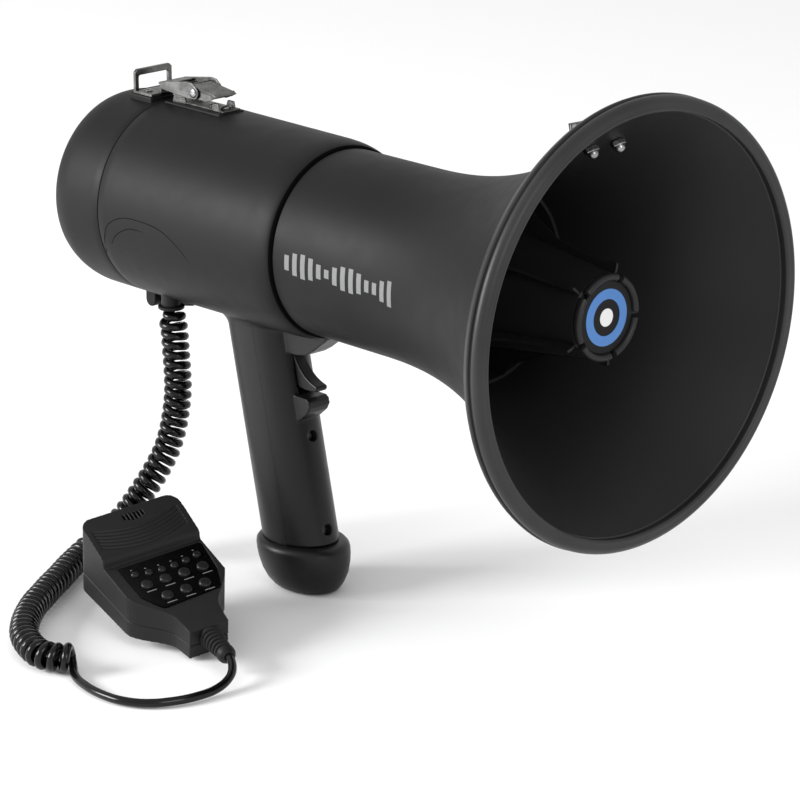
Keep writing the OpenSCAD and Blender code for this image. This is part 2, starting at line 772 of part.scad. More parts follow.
module amp_board() {
    color("#1f5a35") {
        difference() {
            along_axis(-36, -34.4, 50);
            for (a = [45:90:315])
                translate([-37, 0, axis_z]) rotate([a, 0, 0]) translate([0, 0, board_peg_r])
                    rotate([0, 90, 0]) cylinder(h = 4, r = 1.6, $fn = small_fn);
        }
        translate([-34.4, -24, axis_z + 14]) cube([8, 20, 16]);
        translate([-34.4, 6, axis_z + 18]) rotate([0, 90, 0]) cylinder(h = 10, r = 5, $fn = small_fn);
        translate([-34.4, -8, axis_z - 34]) cube([9, 22, 18]);
    }
}

// Gland where the curly cord leaves the body
gland_x = -88;
gland_y = -20;
module cord_gland() {
    color("#161618")
        translate([gland_x, gland_y, 144]) {
            cylinder(h = 7.2, r = 5.4, $fn = small_fn);
            cylinder(h = 2.5, r = 7.4, $fn = small_fn);
        }
}

module cord_coil_hanging() {
    color("#0e0e0f") tube(hang_route, coil_od / 2, 12);
}

module cord_coil_floor() {
    color("#0e0e0f") tube(floor_route, coil_od / 2, 12);
}

module cord_lead() {
    color("#0e0e0f") tube(lead_route, cord_d / 2, 10);
}

module mic_place() {
    translate(mic_at) rotate(mic_tip) children();
}

// Outline of the microphone's casing seen from its face, drawn in by w
function mic_plan(w) =
    let (a = mic_w / 2 - w, b = mic_end_w / 2 - w, l = mic_len + mic_taper - w, c = 7)
    [[w, -a + c], [w + c * 0.3, -a + c * 0.3], [w + c, -a], [mic_len, -a], [mic_len + 7, -a + 2.6],
     [mic_len + 18, -b - 5.6], [l, -b], [l, b], [mic_len + 18, b + 5.6], [mic_len + 7, a - 2.6],
     [mic_len, a], [w + c, a], [w + c * 0.3, a - c * 0.3], [w, a - c]];

// Side outlines: from the back up to the face, and up to the seam
function mic_face(w) = [[-1, mic_top_rear + 0.3 - w], [mic_step_u - w, mic_top_step - w],
    [mic_step_u + 1.5 - w, mic_low_step - w], [mic_len, 23.8 - w],
    [mic_len + mic_taper + 1, mic_low_end - w]];
function mic_seam(d) = [[mic_len + mic_taper + 1, mic_seam_end + d], [-1, mic_seam_rear + d]];

// Places an outline [along, height] across the whole casing
module mic_side_cut(points) {
    translate([0, 60, 0]) rotate([90, 0, 0]) linear_extrude(120) polygon(points);
}

module mic_front_shell() {
    mic_end = mic_len + mic_taper;
    color("#262628")
        mic_place()
            difference() {
                intersection() {
                    linear_extrude(60) polygon(mic_plan(0));
                    mic_side_cut(concat(mic_face(0), mic_seam(0.1)));
                }
                intersection() {
                    translate([0, 0, -1]) linear_extrude(60) polygon(mic_plan(2.4));
                    mic_side_cut(concat(mic_face(2.4), mic_seam(-3)));
                }
                panel_recess(0.2, 1.4);
                for (k = small_keys) key_well(k, small_key_r + 0.4);
                for (k = medium_keys) key_well(k, medium_key_r + 0.4);
                grille_slots();
                translate([mic_end - 4, 0, 11.2]) rotate([0, 90, 0]) cylinder(h = 8, r = 3.3, $fn = small_fn);
                translate([talk_u - 11, mic_w / 2 - 4, talk_z - 0.3]) cube([22, 8, 7.6]);
            }
}

// Slots over the microphone's capsule
module grille_slots() {
    for (i = [0:5])
        translate([4.2, -5.4 + i * 2.2 + mic_mid_v * 0.5, 20]) cube([8, 1.1, 30]);
}

// Frame of the sloping lower face: origin on the face, above its middle line
module on_face(u) {
    translate([u, 0, mic_low_step - (u - mic_step_u) * tan(key_slope)]) rotate([0, key_slope, 0]) children();
}

// Outline of the glossy panel
panel_outline = [[31, -22.6], [30.4, 26.8], [32, 28.2], [52, 25.6], [57, 24], [65.6, 20.4], [67.4, -14.6],
    [63.4, -17.6], [55.4, -22.4]];
module panel_recess(g, depth) {
    on_face(49) translate([-49, 0, -depth]) linear_extrude(20)
        polygon([for (p = panel_outline) [p[0] + g * sign(p[0] - 49), p[1] + g * sign(p[1])]]);
}

module key_well(k, r) {
    on_face(k[0]) translate([0, k[1], -8]) cylinder(h = 20, r = r, $fn = small_fn);
}

module mic_panel() {
    color("#0b0b0c")
        mic_place()
            difference() {
                intersection() {
                    panel_recess(0, 1.3);
                    on_face(49) translate([-49, -40, -2]) cube([100, 80, 1.6]);
                }
                for (k = small_keys) key_well(k, small_key_r + 0.25);
                for (k = medium_keys) key_well(k, medium_key_r + 0.25);
            }
}

module key(k, r) {
    color("#2a2a2c")
        mic_place() on_face(k[0]) translate([0, k[1], 0]) {
            translate([0, 0, -3.9]) cylinder(h = 0.7, r = r + 0.7, $fn = small_fn);
            translate([0, 0, -3.7]) cylinder(h = 3.7 + key_top - 0.5, r = r, $fn = small_fn);
            translate([0, 0, key_top - 0.5]) cylinder(h = 0.5, r1 = r, r2 = r - 0.5, $fn = small_fn);
        }
}

module mic_rear_shell() {
    color("#262628")
        mic_place()
            difference() {
                intersection() {
                    linear_extrude(60) polygon(mic_plan(0));
                    mic_side_cut([[-1, 0], [-1, mic_seam_rear], [mic_len + mic_taper + 1, mic_seam_end],
                        [mic_len + mic_taper + 1, 0]]);
                }
                translate([0, 0, 2.4]) linear_extrude(60) polygon(mic_plan(2.4));
                for (v = clip_screw_v)
                    translate([clip_u + 9, v, -1]) cylinder(h = 6, r = 1.3, $fn = small_fn);
            }
}

module mic_capsule() {
    color("#8f8f92")
        mic_place()
            difference() {
                translate([10, mic_mid_v * 0.5, 26.6]) cylinder(h = 6.5, r = 6, $fn = small_fn);
                translate([10, mic_mid_v * 0.5, 32.5]) cylinder(h = 2, r = 4.6, $fn = small_fn);
            }
}

// Ribbed bush that protects the lead where it enters the microphone, bent a little upwards
relief_len = 26;
relief_bend = [0, -8, -8];
module mic_strain_relief() {
    mic_end = mic_len + mic_taper;
    ribs = [for (i = [0:5]) each [[1 + i * 3.2, 6.2 - i * 0.28], [2.8 + i * 3.2, 6.2 - i * 0.28],
        [2.8 + i * 3.2, 5 - i * 0.28], [4.2 + i * 3.2, 5 - i * 0.28]]];
    outline = concat([[0, 0], [0, 6.2]], ribs, [[20.4, 5.2], [23.4, 5], [25.6, 3.6], [relief_len, 3],
        [relief_len, 0]]);
    color("#141416")
        mic_place()
            translate([mic_end, 0, 11.2]) {
                rotate([0, 90, 0]) translate([0, 0, -5]) cylinder(h = 7.5, r = 3.2, $fn = small_fn);
                rotate(relief_bend) rotate([0, 90, 0]) translate([0, 0, 1.1])
                    difference() {
                        rotate_extrude($fn = small_fn) polygon([for (p = outline) [p[1], p[0]]]);
                        translate([0, 0, relief_len - 5])
                            cylinder(h = 6, r = cord_d / 2 + 0.05, $fn = small_fn);
                    }
            }
}

// Spring clip on the microphone's back, on which it leans
clip_u = 8;
clip_screw_v = [-7, 7];
module mic_clip() {
    color("#8a8a8e")
        mic_place()
            difference() {
                    translate([0, 13, 0]) rotate([90, 0, 0]) linear_extrude(26)
                        polygon([[clip_u, -0.1], [clip_u + 20, -0.1], [clip_u + 20, -1.5], [clip_u + 3, -1.5],
                            [clip_u + 1.6, -3], [clip_u + 1.6, -8.5], [clip_u + 3.4, -10.2],
                            [clip_u + 16, -12.6], [clip_u + 26, -7], [clip_u + 30, -4.2],
                            [clip_u + 31, -5.2], [clip_u + 27, -8.6], [clip_u + 16.4, -14.1],
                            [clip_u + 3, -11.8], [clip_u, -9.4], [clip_u - 0.2, -2]]);
                for (v = clip_screw_v)
                    translate([clip_u + 9, v, -3]) cylinder(h = 4, r = 1.3, $fn = small_fn);
            }
    color("silver")
        mic_place()
            for (v = clip_screw_v)
                translate([clip_u + 9, v, -2.5]) {
                    cylinder(h = 1, r = 2.4, $fn = small_fn);
                    cylinder(h = 6, r = 1.3, $fn = small_fn);
                }
}

talk_u = 41;
talk_z = 14.6;
module mic_talk_button() {
    color("#1b1b1d")
        mic_place()
            translate([talk_u - 10.6, mic_w / 2 - 3.8, talk_z]) cube([21.2, 6, 7]);
}

horn_bell();
rim_trim();
reflector_cup();
reflector_ring();
emblem_disc();
throat_tube();
driver_magnet();
driver_pole_plate();
driver_diaphragm();
driver_screws();
body_shell();
handle_front();
handle_foot();
handle_screws();
trigger();
trigger_pin();
trigger_spring();
trigger_switch();
rear_cap();
cap_gasket();
hinge_pin();
strap_loop();
latch_base();
latch_lever();
latch_lever_pin();
latch_claw();
latch_claw_pin();
strap_bracket();
bracket_screws();
bracket_nuts();
battery_holder();
battery_cells();
contact_springs();
amp_board();
cord_gland();
cord_coil_hanging();
cord_coil_floor();
cord_lead();
mic_front_shell();
mic_rear_shell();
mic_panel();
mic_capsule();
mic_strain_relief();
mic_clip();
mic_talk_button();
key(small_keys[0], small_key_r);  // key_small_1
key(small_keys[1], small_key_r);  // key_small_2
key(small_keys[2], small_key_r);  // key_small_3
key(small_keys[3], small_key_r);  // key_small_4
key(small_keys[4], small_key_r);  // key_small_5
key(small_keys[5], small_key_r);  // key_small_6
key(medium_keys[0], medium_key_r);  // key_medium_1
key(medium_keys[1], medium_key_r);  // key_medium_2
key(medium_keys[2], medium_key_r);  // key_medium_3
key(medium_keys[3], medium_key_r);  // key_medium_4
key(medium_keys[4], medium_key_r);  // key_medium_5
key(medium_keys[5], medium_key_r);  // key_medium_6
key(medium_keys[6], medium_key_r);  // key_medium_7
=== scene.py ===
"""Looks for the handheld megaphone. Lengths are in millimetres of the CAD frame until add_mesh."""
import math

import bmesh
import bpy
from mathutils import Euler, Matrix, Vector


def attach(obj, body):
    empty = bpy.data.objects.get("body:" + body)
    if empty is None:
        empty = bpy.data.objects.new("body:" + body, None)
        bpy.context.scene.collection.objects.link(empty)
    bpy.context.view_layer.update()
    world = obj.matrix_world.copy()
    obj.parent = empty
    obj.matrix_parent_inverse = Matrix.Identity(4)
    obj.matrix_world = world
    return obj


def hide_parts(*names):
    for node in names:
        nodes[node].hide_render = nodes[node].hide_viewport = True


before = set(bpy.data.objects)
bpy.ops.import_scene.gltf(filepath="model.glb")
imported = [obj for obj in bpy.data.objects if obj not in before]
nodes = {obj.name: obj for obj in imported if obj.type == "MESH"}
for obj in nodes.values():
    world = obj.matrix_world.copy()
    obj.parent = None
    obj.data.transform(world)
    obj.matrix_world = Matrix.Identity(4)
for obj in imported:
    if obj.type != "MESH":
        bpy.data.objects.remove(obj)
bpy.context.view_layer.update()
scene = bpy.context.scene
MM = 0.001

# The horn's axis and the stations along it
AXIS_Z = 202.0
MOUTH_X = 245.0
NECK_R = 50.8
FLARE_X = 85.0
SEAM_X = -106.6
BODY_R_FRONT = 54.5
BODY_R_REAR = 55.6


# ---------------------------------------------------------------- camera
def make_camera():
    data = bpy.data.cameras.new("camera")
    data.lens = 162.0
    data.sensor_width = 36.0
    data.clip_end = 30.0
    cam = bpy.data.objects.new("camera", data)
    scene.collection.objects.link(cam)
    cam.location = Vector((1385.0, -1248.7, 710.8)) * MM
    aim = Vector((74.7, 0.0, 124.6)) * MM
    cam.rotation_euler = (aim - cam.location).to_track_quat("-Z", "Y").to_euler()
    scene.camera = cam


make_camera()
scene.view_settings.view_transform = "Standard"


# ---------------------------------------------------------------- materials
def node_tree(name):
    mat = bpy.data.materials.new(name)
    mat.use_nodes = True
    tree = mat.node_tree
    shader = tree.nodes["Principled BSDF"]
    return mat, tree, shader


def set_value(shader, **values):
    for key, value in values.items():
        shader.inputs[key.replace("_", " ")].default_value = value


def noise_node(tree, coords, scale, detail=4.0, stretch=None):
    noise = tree.nodes.new("ShaderNodeTexNoise")
    noise.inputs["Scale"].default_value = scale
    noise.inputs["Detail"].default_value = detail
    if stretch is None:
        tree.links.new(coords.outputs["Object"], noise.inputs["Vector"])
    else:
        mapping = tree.nodes.new("ShaderNodeMapping")
        mapping.inputs["Scale"].default_value = stretch
        tree.links.new(coords.outputs["Object"], mapping.inputs["Vector"])
        tree.links.new(mapping.outputs["Vector"], noise.inputs["Vector"])
    return noise


def ramp_node(tree, source, low, high, start=0.3, end=0.7):
    ramp = tree.nodes.new("ShaderNodeMapRange")
    ramp.inputs["From Min"].default_value = start
    ramp.inputs["From Max"].default_value = end
    ramp.inputs["To Min"].default_value = low
    ramp.inputs["To Max"].default_value = high
    tree.links.new(source, ramp.inputs["Value"])
    return ramp.outputs["Result"]


def color_mix(tree, factor, a, b):
    mix = tree.nodes.new("ShaderNodeMix")
    mix.data_type = "RGBA"
    mix.inputs["A"].default_value = (*a, 1.0)
    mix.inputs["B"].default_value = (*b, 1.0)
    tree.links.new(factor, mix.inputs["Factor"])
    return mix.outputs["Result"]


def bump_chain(tree, shader, layers):
    previous = None
    for source, strength, distance in layers:
        bump = tree.nodes.new("ShaderNodeBump")
        bump.inputs["Strength"].default_value = strength
        bump.inputs["Distance"].default_value = distance
        tree.links.new(source, bump.inputs["Height"])
        if previous is not None:
            tree.links.new(previous, bump.inputs["Normal"])
        previous = bump.outputs["Normal"]
    tree.links.new(previous, shader.inputs["Normal"])


def moulded(name, base, spread, rough, grain, specular=0.35, depth=0.12):
    """Moulded plastic or rubber: a fine eroded grain, slow colour drift and rubbed, smoother patches."""
    mat, tree, shader = node_tree(name)
    coords = tree.nodes.new("ShaderNodeTexCoord")
    slow = noise_node(tree, coords, 22.0, 3.0)
    fine = noise_node(tree, coords, grain, 2.0)
    rub = noise_node(tree, coords, 90.0, 6.0)
    shade = ramp_node(tree, slow.outputs["Fac"], 0.0, 1.0)
    low = tuple(c * (1.0 - spread) for c in base)
    high = tuple(c * (1.0 + spread) for c in base)
    tree.links.new(color_mix(tree, shade, low, high), shader.inputs["Base Color"])
    tree.links.new(ramp_node(tree, rub.outputs["Fac"], rough - 0.025, rough + 0.03), shader.inputs["Roughness"])
    set_value(shader, Specular_IOR_Level=specular)
    bump_chain(tree, shader, [(fine.outputs["Fac"], depth, 0.0002)])
    return mat


def metal(name, base, rough, scratch, wear=0.25):
    """Plated steel: brushed lines, cloudy tarnish and small scuffs."""
    mat, tree, shader = node_tree(name)
    coords = tree.nodes.new("ShaderNodeTexCoord")
    cloud = noise_node(tree, coords, 160.0, 5.0)
    lines = noise_node(tree, coords, 900.0, 2.0, (0.12, 1.0, 1.0))
    spots = noise_node(tree, coords, 620.0, 6.0)
    dark = tuple(c * (1.0 - wear) for c in base)
    factor = ramp_node(tree, cloud.outputs["Fac"], 0.0, 1.0, 0.35, 0.65)
    tree.links.new(color_mix(tree, factor, dark, base), shader.inputs["Base Color"])
    tree.links.new(ramp_node(tree, spots.outputs["Fac"], rough - 0.08, rough + 0.14), shader.inputs["Roughness"])
    set_value(shader, Metallic=1.0)
    bump_chain(tree, shader, [(lines.outputs["Fac"], scratch, 0.0002)])
    return mat


BLACK = moulded("satin_black_plastic", (0.0066, 0.0066, 0.0069), 0.06, 0.5, 2600.0, 0.15)
# Painted light: the same black plastic made lighter, so the horn's inside, its throat and the reflector look lit.
INSIDE_PAINTED_LIGHT = moulded("horn_inside_painted_light", (0.0105, 0.0105, 0.0108), 0.06, 0.46, 2600.0, 0.2)
HANDLE = moulded("handle_plastic", (0.0056, 0.0056, 0.0058), 0.06, 0.39, 2400.0, 0.28)
RIM = moulded("rim_rubber", (0.022, 0.022, 0.0225), 0.2, 0.42, 1700.0, 0.26, 0.2)
MIC = moulded("microphone_plastic", (0.0105, 0.0105, 0.011), 0.12, 0.52, 3200.0, 0.24, 0.25)
CORD = moulded("cord_jacket", (0.0014, 0.0014, 0.0015), 0.2, 0.2, 1500.0, 0.3, 0.04)
SOFT = moulded("soft_rubber", (0.005, 0.005, 0.005), 0.15, 0.5, 1800.0, 0.22)
PANEL = moulded("panel_gloss", (0.0014, 0.0014, 0.0016), 0.2, 0.16, 900.0, 0.25, 0.02)
KEYS = moulded("key_rubber", (0.008, 0.008, 0.0084), 0.15, 0.34, 2000.0, 0.3)
GROOVE = moulded("groove_shadow", (0.0012, 0.0012, 0.0012), 0.1, 0.8, 2000.0, 0.02)
RING = moulded("reflector_plastic", (0.012, 0.012, 0.0125), 0.12, 0.38, 2400.0, 0.26)
PRINT = moulded("grey_print", (0.18, 0.18, 0.183), 0.06, 0.5, 3000.0, 0.2)
BLUE = moulded("blue_print", (0.07, 0.19, 0.46), 0.06, 0.45, 3000.0, 0.25)
WHITE = moulded("white_print", (0.72, 0.72, 0.72), 0.03, 0.5, 3000.0, 0.2)
STEEL = metal("worn_steel", (0.17, 0.17, 0.165), 0.36, 0.35, 0.5)
BRIGHT = metal("bright_steel", (0.36, 0.36, 0.37), 0.26, 0.15, 0.4)
IRON = metal("driver_iron", (0.22, 0.22, 0.23), 0.42, 0.3)
CONE = moulded("phenolic_cone", (0.30, 0.19, 0.075), 0.15, 0.5, 1400.0)
CELL = moulded("cell_sleeve", (0.42, 0.17, 0.03), 0.12, 0.3, 900.0)
BOARD = moulded("circuit_board", (0.02, 0.12, 0.05), 0.2, 0.35, 900.0)

for name, mat in {
    "driver_magnet": IRON, "driver_pole_plate": IRON, "driver_diaphragm": CONE, "driver_screws": BRIGHT,
    "throat_tube": INSIDE_PAINTED_LIGHT, "trigger_pin": BRIGHT, "trigger_spring": BRIGHT, "trigger_switch": PANEL,
    "cap_gasket": SOFT, "hinge_pin": BRIGHT, "strap_loop": STEEL, "latch_base": BRIGHT, "latch_lever": STEEL,
    "latch_lever_pin": BRIGHT, "latch_claw": STEEL, "latch_claw_pin": BRIGHT, "strap_bracket": STEEL,
    "bracket_screws": BRIGHT, "bracket_nuts": BRIGHT, "battery_holder": BLACK, "battery_cells": CELL,
    "contact_springs": STEEL, "amp_board": BOARD, "cord_gland": SOFT, "mic_capsule": BRIGHT, "mic_clip": STEEL,
    "mic_panel": PANEL, "mic_talk_button": KEYS, "handle_screws": STEEL, "trigger": HANDLE,
    "handle_front": HANDLE, "handle_foot": HANDLE, "rear_cap": BLACK, "body_shell": BLACK,
    "horn_bell": BLACK, "rim_trim": RIM, "reflector_cup": INSIDE_PAINTED_LIGHT, "reflector_ring": RING,
    "emblem_disc": BLACK, "mic_front_shell": MIC, "mic_rear_shell": MIC, "mic_strain_relief": SOFT,
    **{k: KEYS for k in nodes if k.startswith("key_")},
}.items():
    nodes[name].data.materials.clear()
    nodes[name].data.materials.append(mat)


# ---------------------------------------------------------------- mesh helpers
def lerp(a, b, t):
    return a + (b - a) * t


def add_mesh(name, verts, faces, mat, body="megaphone", smooth_angle=35.0, replaces=(), slot=None):
    mesh = bpy.data.meshes.new(name)
    mesh.from_pydata([Vector(v) * MM for v in verts], [], faces)
    obj = bpy.data.objects.new(name, mesh)
    scene.collection.objects.link(obj)
    finish_mesh(obj, mat, smooth_angle)
    place(obj, body, replaces)
    return obj


def finish_mesh(obj, mat, smooth_angle=35.0):
    mesh = obj.data
    bm = bmesh.new()
    bm.from_mesh(mesh)
    bmesh.ops.remove_doubles(bm, verts=bm.verts, dist=1e-6)
    bmesh.ops.recalc_face_normals(bm, faces=bm.faces)
    bm.to_mesh(mesh)
    bm.free()
    mesh.materials.clear()
    mesh.materials.append(mat)
    mesh.shade_smooth()
    mesh.set_sharp_from_angle(angle=math.radians(smooth_angle))


def place(obj, body, replaces=()):
    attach(obj, body)
    if replaces:
        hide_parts(*replaces)


def revolve_data(profile, n=160):
    """Turns the closed outline [(x, r)] about the horn's axis."""
    verts, faces = [], []
    m = len(profile)
    for k in range(n):
        a = math.tau * k / n
        c, s = math.cos(a), math.sin(a)
        verts += [(x, r * s, AXIS_Z + r * c) for x, r in profile]
    for k in range(n):
        for i in range(m):
            j = (i + 1) % m
            faces.append((k * m + i, k * m + j, (k + 1) % n * m + j, (k + 1) % n * m + i))
    return verts, faces


def revolve(name, profile, mat, n=160, **kw):
    return add_mesh(name, *revolve_data(profile, n), mat, **kw)


def arc(cx, cr, radius, start, end, steps):
    """Points on a part circle, with angles in degrees."""
    angles = [math.radians(lerp(start, end, i / steps)) for i in range(steps + 1)]
    return [(cx + radius * math.cos(a), cr + radius * math.sin(a)) for a in angles]


def slab_faces(m):
    """Faces of a plate with m corners: its two sides, then its edge."""
    faces = [tuple(range(m)), tuple(range(2 * m - 1, m - 1, -1))]
    return faces + [(i, (i + 1) % m, (i + 1) % m + m, i + m) for i in range(m)]


def tube_faces(rings, m):
    """Faces of a closed tube whose rings have m points each: its wall, then its two ends."""
    faces = [(i * m + k, i * m + (k + 1) % m, (i + 1) * m + (k + 1) % m, (i + 1) * m + k)
             for i in range(rings - 1) for k in range(m)]
    return faces + [tuple(range(m - 1, -1, -1)), tuple((rings - 1) * m + k for k in range(m))]


def circle(centre, side, up, r, n):
    """n points around centre, in the plane of side and up."""
    return [centre + (side * math.cos(k * math.tau / n) + up * math.sin(k * math.tau / n)) * r
            for k in range(n)]


def line_axes(start, end):
    """The direction from start to end, and two directions square to it."""
    t = (Vector(end) - Vector(start)).normalized()
    side = t.orthogonal().normalized()
    return t, side, t.cross(side)


def sweep_data(path, radii, n):
    """A round tube along path. radii is one radius, or one for each point of the path."""
    points = [Vector(p) for p in path]
    last = len(points) - 1
    tangents = [(points[min(i + 1, last)] - points[max(i - 1, 0)]).normalized() for i in range(last + 1)]
    side = tangents[0].orthogonal().normalized()
    verts = []
    for i, (p, t) in enumerate(zip(points, tangents)):
        side = (side - t * side.dot(t)).normalized()
        r = radii[i] if hasattr(radii, "__len__") else radii
        verts += circle(p, side, t.cross(side), r, n)
    return verts, tube_faces(len(points), n)


def prism_data(outline, y0, y1):
    """A plate with its outline [(x, z)] in the upright plane, from y0 to y1."""
    verts = [(x, y0, z) for x, z in outline] + [(x, y1, z) for x, z in outline]
    return verts, slab_faces(len(outline))


def plan_data(outline, z0, z1):
    """A plate with its outline [(x, y)] in the flat plane, from z0 to z1."""
    verts = [(x, y, z0) for x, y in outline] + [(x, y, z1) for x, y in outline]
    return verts, slab_faces(len(outline))


def box_data(x0, x1, y0, y1, z0, z1):
    return prism_data([(x0, z0), (x1, z0), (x1, z1), (x0, z1)], y0, y1)


def rod_data(start, end, r, n=40):
    """A round bar from start to end."""
    _, side, up = line_axes(start, end)
    return circle(Vector(start), side, up, r, n) + circle(Vector(end), side, up, r, n), slab_faces(n)


def turned_stack_data(start, end, profile, n=32):
    """Turns [(distance, r)] about the line from start to end."""
    t, side, up = line_axes(start, end)
    verts = []
    for distance, r in profile:
        verts += circle(Vector(start) + t * distance, side, up, r, n)
    return verts, tube_faces(len(profile), n)


def loft_data(rings):
    """A closed solid through rings that have the same number of points."""
    return [v for ring in rings for v in ring], tube_faces(len(rings), len(rings[0]))


def join_data(*parts):
    """Several solids as one mesh."""
    verts, faces = [], []
    for v, f in parts:
        base = len(verts)
        verts += list(v)
        faces += [tuple(i + base for i in face) for face in f]
    return verts, faces


def bevelled(obj, width, segments):
    """Rounds the sharp edges and keeps the flats shaded flat."""
    mod = obj.modifiers.new("edge", "BEVEL")
    mod.width = width * MM
    mod.segments = segments
    mod.limit_method = "ANGLE"
    mod.angle_limit = math.radians(30.0)
    normals = obj.modifiers.new("normals", "WEIGHTED_NORMAL")
    normals.keep_sharp = True
    return obj


def apply_modifiers(obj):
    depsgraph = bpy.context.evaluated_depsgraph_get()
    mesh = bpy.data.meshes.new_from_object(obj.evaluated_get(depsgraph))
    obj.modifiers.clear()
    obj.data = mesh


def loose(name, verts, faces):
    """A helper solid that isn't part of the scene's result."""
    mesh = bpy.data.meshes.new(name)
    mesh.from_pydata([Vector(v) * MM for v in verts], [], faces)
    bm = bmesh.new()
    bm.from_mesh(mesh)
    bmesh.ops.recalc_face_normals(bm, faces=bm.faces)
    bm.to_mesh(mesh)
    bm.free()
    obj = bpy.data.objects.new(name, mesh)
    scene.collection.objects.link(obj)
    return obj


def combine(obj, others, operation="DIFFERENCE"):
    for other in others:
        mod = obj.modifiers.new("cut", "BOOLEAN")
        mod.operation = operation
        mod.object = other
        mod.solver = "EXACT"
        mod.use_self = True
    apply_modifiers(obj)
    for other in others:
        bpy.data.objects.remove(other)


def spline(points, count):
    """A smooth line through points (Catmull-Rom), resampled evenly."""
    pts = [Vector(p) for p in points]
    ends = [pts[0] * 2 - pts[1]] + pts + [pts[-1] * 2 - pts[-2]]
    fine = []
    for i in range(1, len(ends) - 2):
        p0, p1, p2, p3 = ends[i - 1:i + 3]
        for k in range(16):
            t = k / 16
            fine.append(0.5 * (2 * p1 + (p2 - p0) * t + (2 * p0 - 5 * p1 + 4 * p2 - p3) * t * t
                               + (3 * p1 - p0 - 3 * p2 + p3) * t ** 3))
    fine.append(pts[-1])
    return even(fine, count)


def line_length(points):
    return sum((b - a).length for a, b in zip(points, points[1:]))


def even(points, count):
    """The same line through count evenly spaced points."""
    total = line_length(points)
    out, i, walked = [], 0, 0.0
    for k in range(count):
        target = total * k / (count - 1)
        while i < len(points) - 2 and walked + (points[i + 1] - points[i]).length < target:
            walked += (points[i + 1] - points[i]).length
            i += 1
        step = (points[i + 1] - points[i]).length
        t = 0.0 if step < 1e-9 else min(1.0, (target - walked) / step)
        out.append(points[i].lerp(points[i + 1], t))
    return out


# ---------------------------------------------------------------- the cord
# The wire's centreline runs at COIL_R around the coil's route, one turn for each COIL_PITCH
COIL_R = 5.7
WIRE_R = 2.3
COIL_PITCH = 5.55
HANG_ROUTE = [(-88, -20, 144), (-88, -20, 141.5), (-87, -19, 132), (-86, -19, 120), (-85, -19, 108), (-85, -19, 96),
              (-86, -20, 84), (-87, -22, 73), (-89, -25, 62), (-92, -30, 51), (-95, -36, 41),
              (-98, -43, 31), (-101, -51, 22), (-103.2, -58.5, 16), (-104, -61, 14)]
FLOOR_ROUTE = [(-104, -61, 14), (-104.8, -63.5, 12), (-105, -70, 10.5), (-101, -81, 8.4), (-94, -93, 8.2),
               (-86, -105, 8.2), (-78, -118, 8.2), (-70, -130, 8.2), (-62, -142, 8.2), (-52, -154, 8.2),
               (-41, -165, 8.2), (-29, -174, 8.2), (-16, -180, 8.2), (-4, -183, 8.2), (5, -180.5, 8.2),
               (11.5, -174, 8.2)]
LEAD_ROUTE = [(17.5, -178.4, 2.5), (25.5, -182.3, 2.55), (34, -184.6, 2.6), (43, -186, 2.6),
              (53, -186, 2.6), (62, -184.4, 2.6), (71, -180, 2.6), (77, -174, 2.6), (81, -167, 2.6),
              (84, -159, 2.6), (85.4, -150, 2.6), (85.6, -142, 2.8),
              (84.6, -134, 4), (82, -127, 6.2), (77, -121.6, 8.6), (71.4, -118.6, 10.1), (68, -117.6, 10.4)]


def coil_path():
    """The wire's centreline: out of the gland, round the coil, and on to the microphone."""
    route = spline(HANG_ROUTE + FLOOR_ROUTE[1:], 700)
    length = line_length(route)
    turns = round(length / COIL_PITCH)
    per_turn = 16  # points
    count = turns * per_turn
    route = even(route, count + 1)
    sides, side = [], Vector((0, -1, 0))
    for i in range(count + 1):
        t = (route[min(i + 1, count)] - route[max(i - 1, 0)]).normalized()
        side = (side - t * side.dot(t)).normalized()
        sides.append((side, t.cross(side)))
    # The last turn ends underneath, already running the lead's way
    last = math.atan2(-sides[-1][1].z, -sides[-1][0].z)
    path = []
    for i, (p, (side, up)) in enumerate(zip(route, sides)):
        ramp = min(1.0, i / per_turn / 0.9)
        ramp = ramp * ramp * (3 - 2 * ramp)
        a = last + math.tau * (count - i) / per_turn
        path.append(p + (side * math.cos(a) + up * math.sin(a)) * COIL_R * ramp)
    joint = len(path)
    path += spline([tuple(path[-1])] + LEAD_ROUTE, 110)[1:]
    for _ in range(20):
        old = list(path)
        for i in range(joint - 3, joint + 6):
            path[i] = (old[i - 1] + old[i] * 2 + old[i + 1]) / 4
    return path


def make_cord():
    path = coil_path()
    verts, faces = sweep_data(path, WIRE_R, 10)
    cord = add_mesh("curly_cord", verts, faces, CORD, smooth_angle=60.0,
                    replaces=("cord_coil_hanging", "cord_coil_floor", "cord_lead"), slot="cord_skin")


make_cord()


# ---------------------------------------------------------------- horn
BELL_WALL = 2.2
LINING = 0.12


def horn_r(x):
    """Outer radius of the bell and neck."""
    return NECK_R if x <= FLARE_X else NECK_R + 60.1 * ((x - FLARE_X) / 160.0) ** 2.3


def make_horn():
    """The bell, and a thin lining inside it in a lighter copy of the black plastic: painted light on the horn's
    inside.
    """
    outer = [(8, NECK_R), (60, NECK_R), (80, NECK_R)]
    stations = [lerp(FLARE_X, MOUTH_X - 2, i / 60) for i in range(61)]
    outer += [(x, horn_r(x)) for x in stations]
    inner = [(x, horn_r(x) - BELL_WALL) for x in reversed(stations)]
    inner += [(40, NECK_R - BELL_WALL), (8, NECK_R - BELL_WALL)]
    revolve("bell_shell", outer + inner, BLACK, n=224, replaces=("horn_bell",), slot="black_plastic")
    # The lining's lighter colour is painted light on the same black plastic.
    inside = [(x, horn_r(x) - BELL_WALL - LINING) for x in reversed(stations)] + [(40, NECK_R - BELL_WALL - LINING)]
    back = [(40, NECK_R - BELL_WALL + 0.4)] + [(x, horn_r(x) - BELL_WALL + 0.4) for x in stations]
    revolve("bell_painted_light_lining", back + inside, INSIDE_PAINTED_LIGHT, n=224, slot="black_plastic")


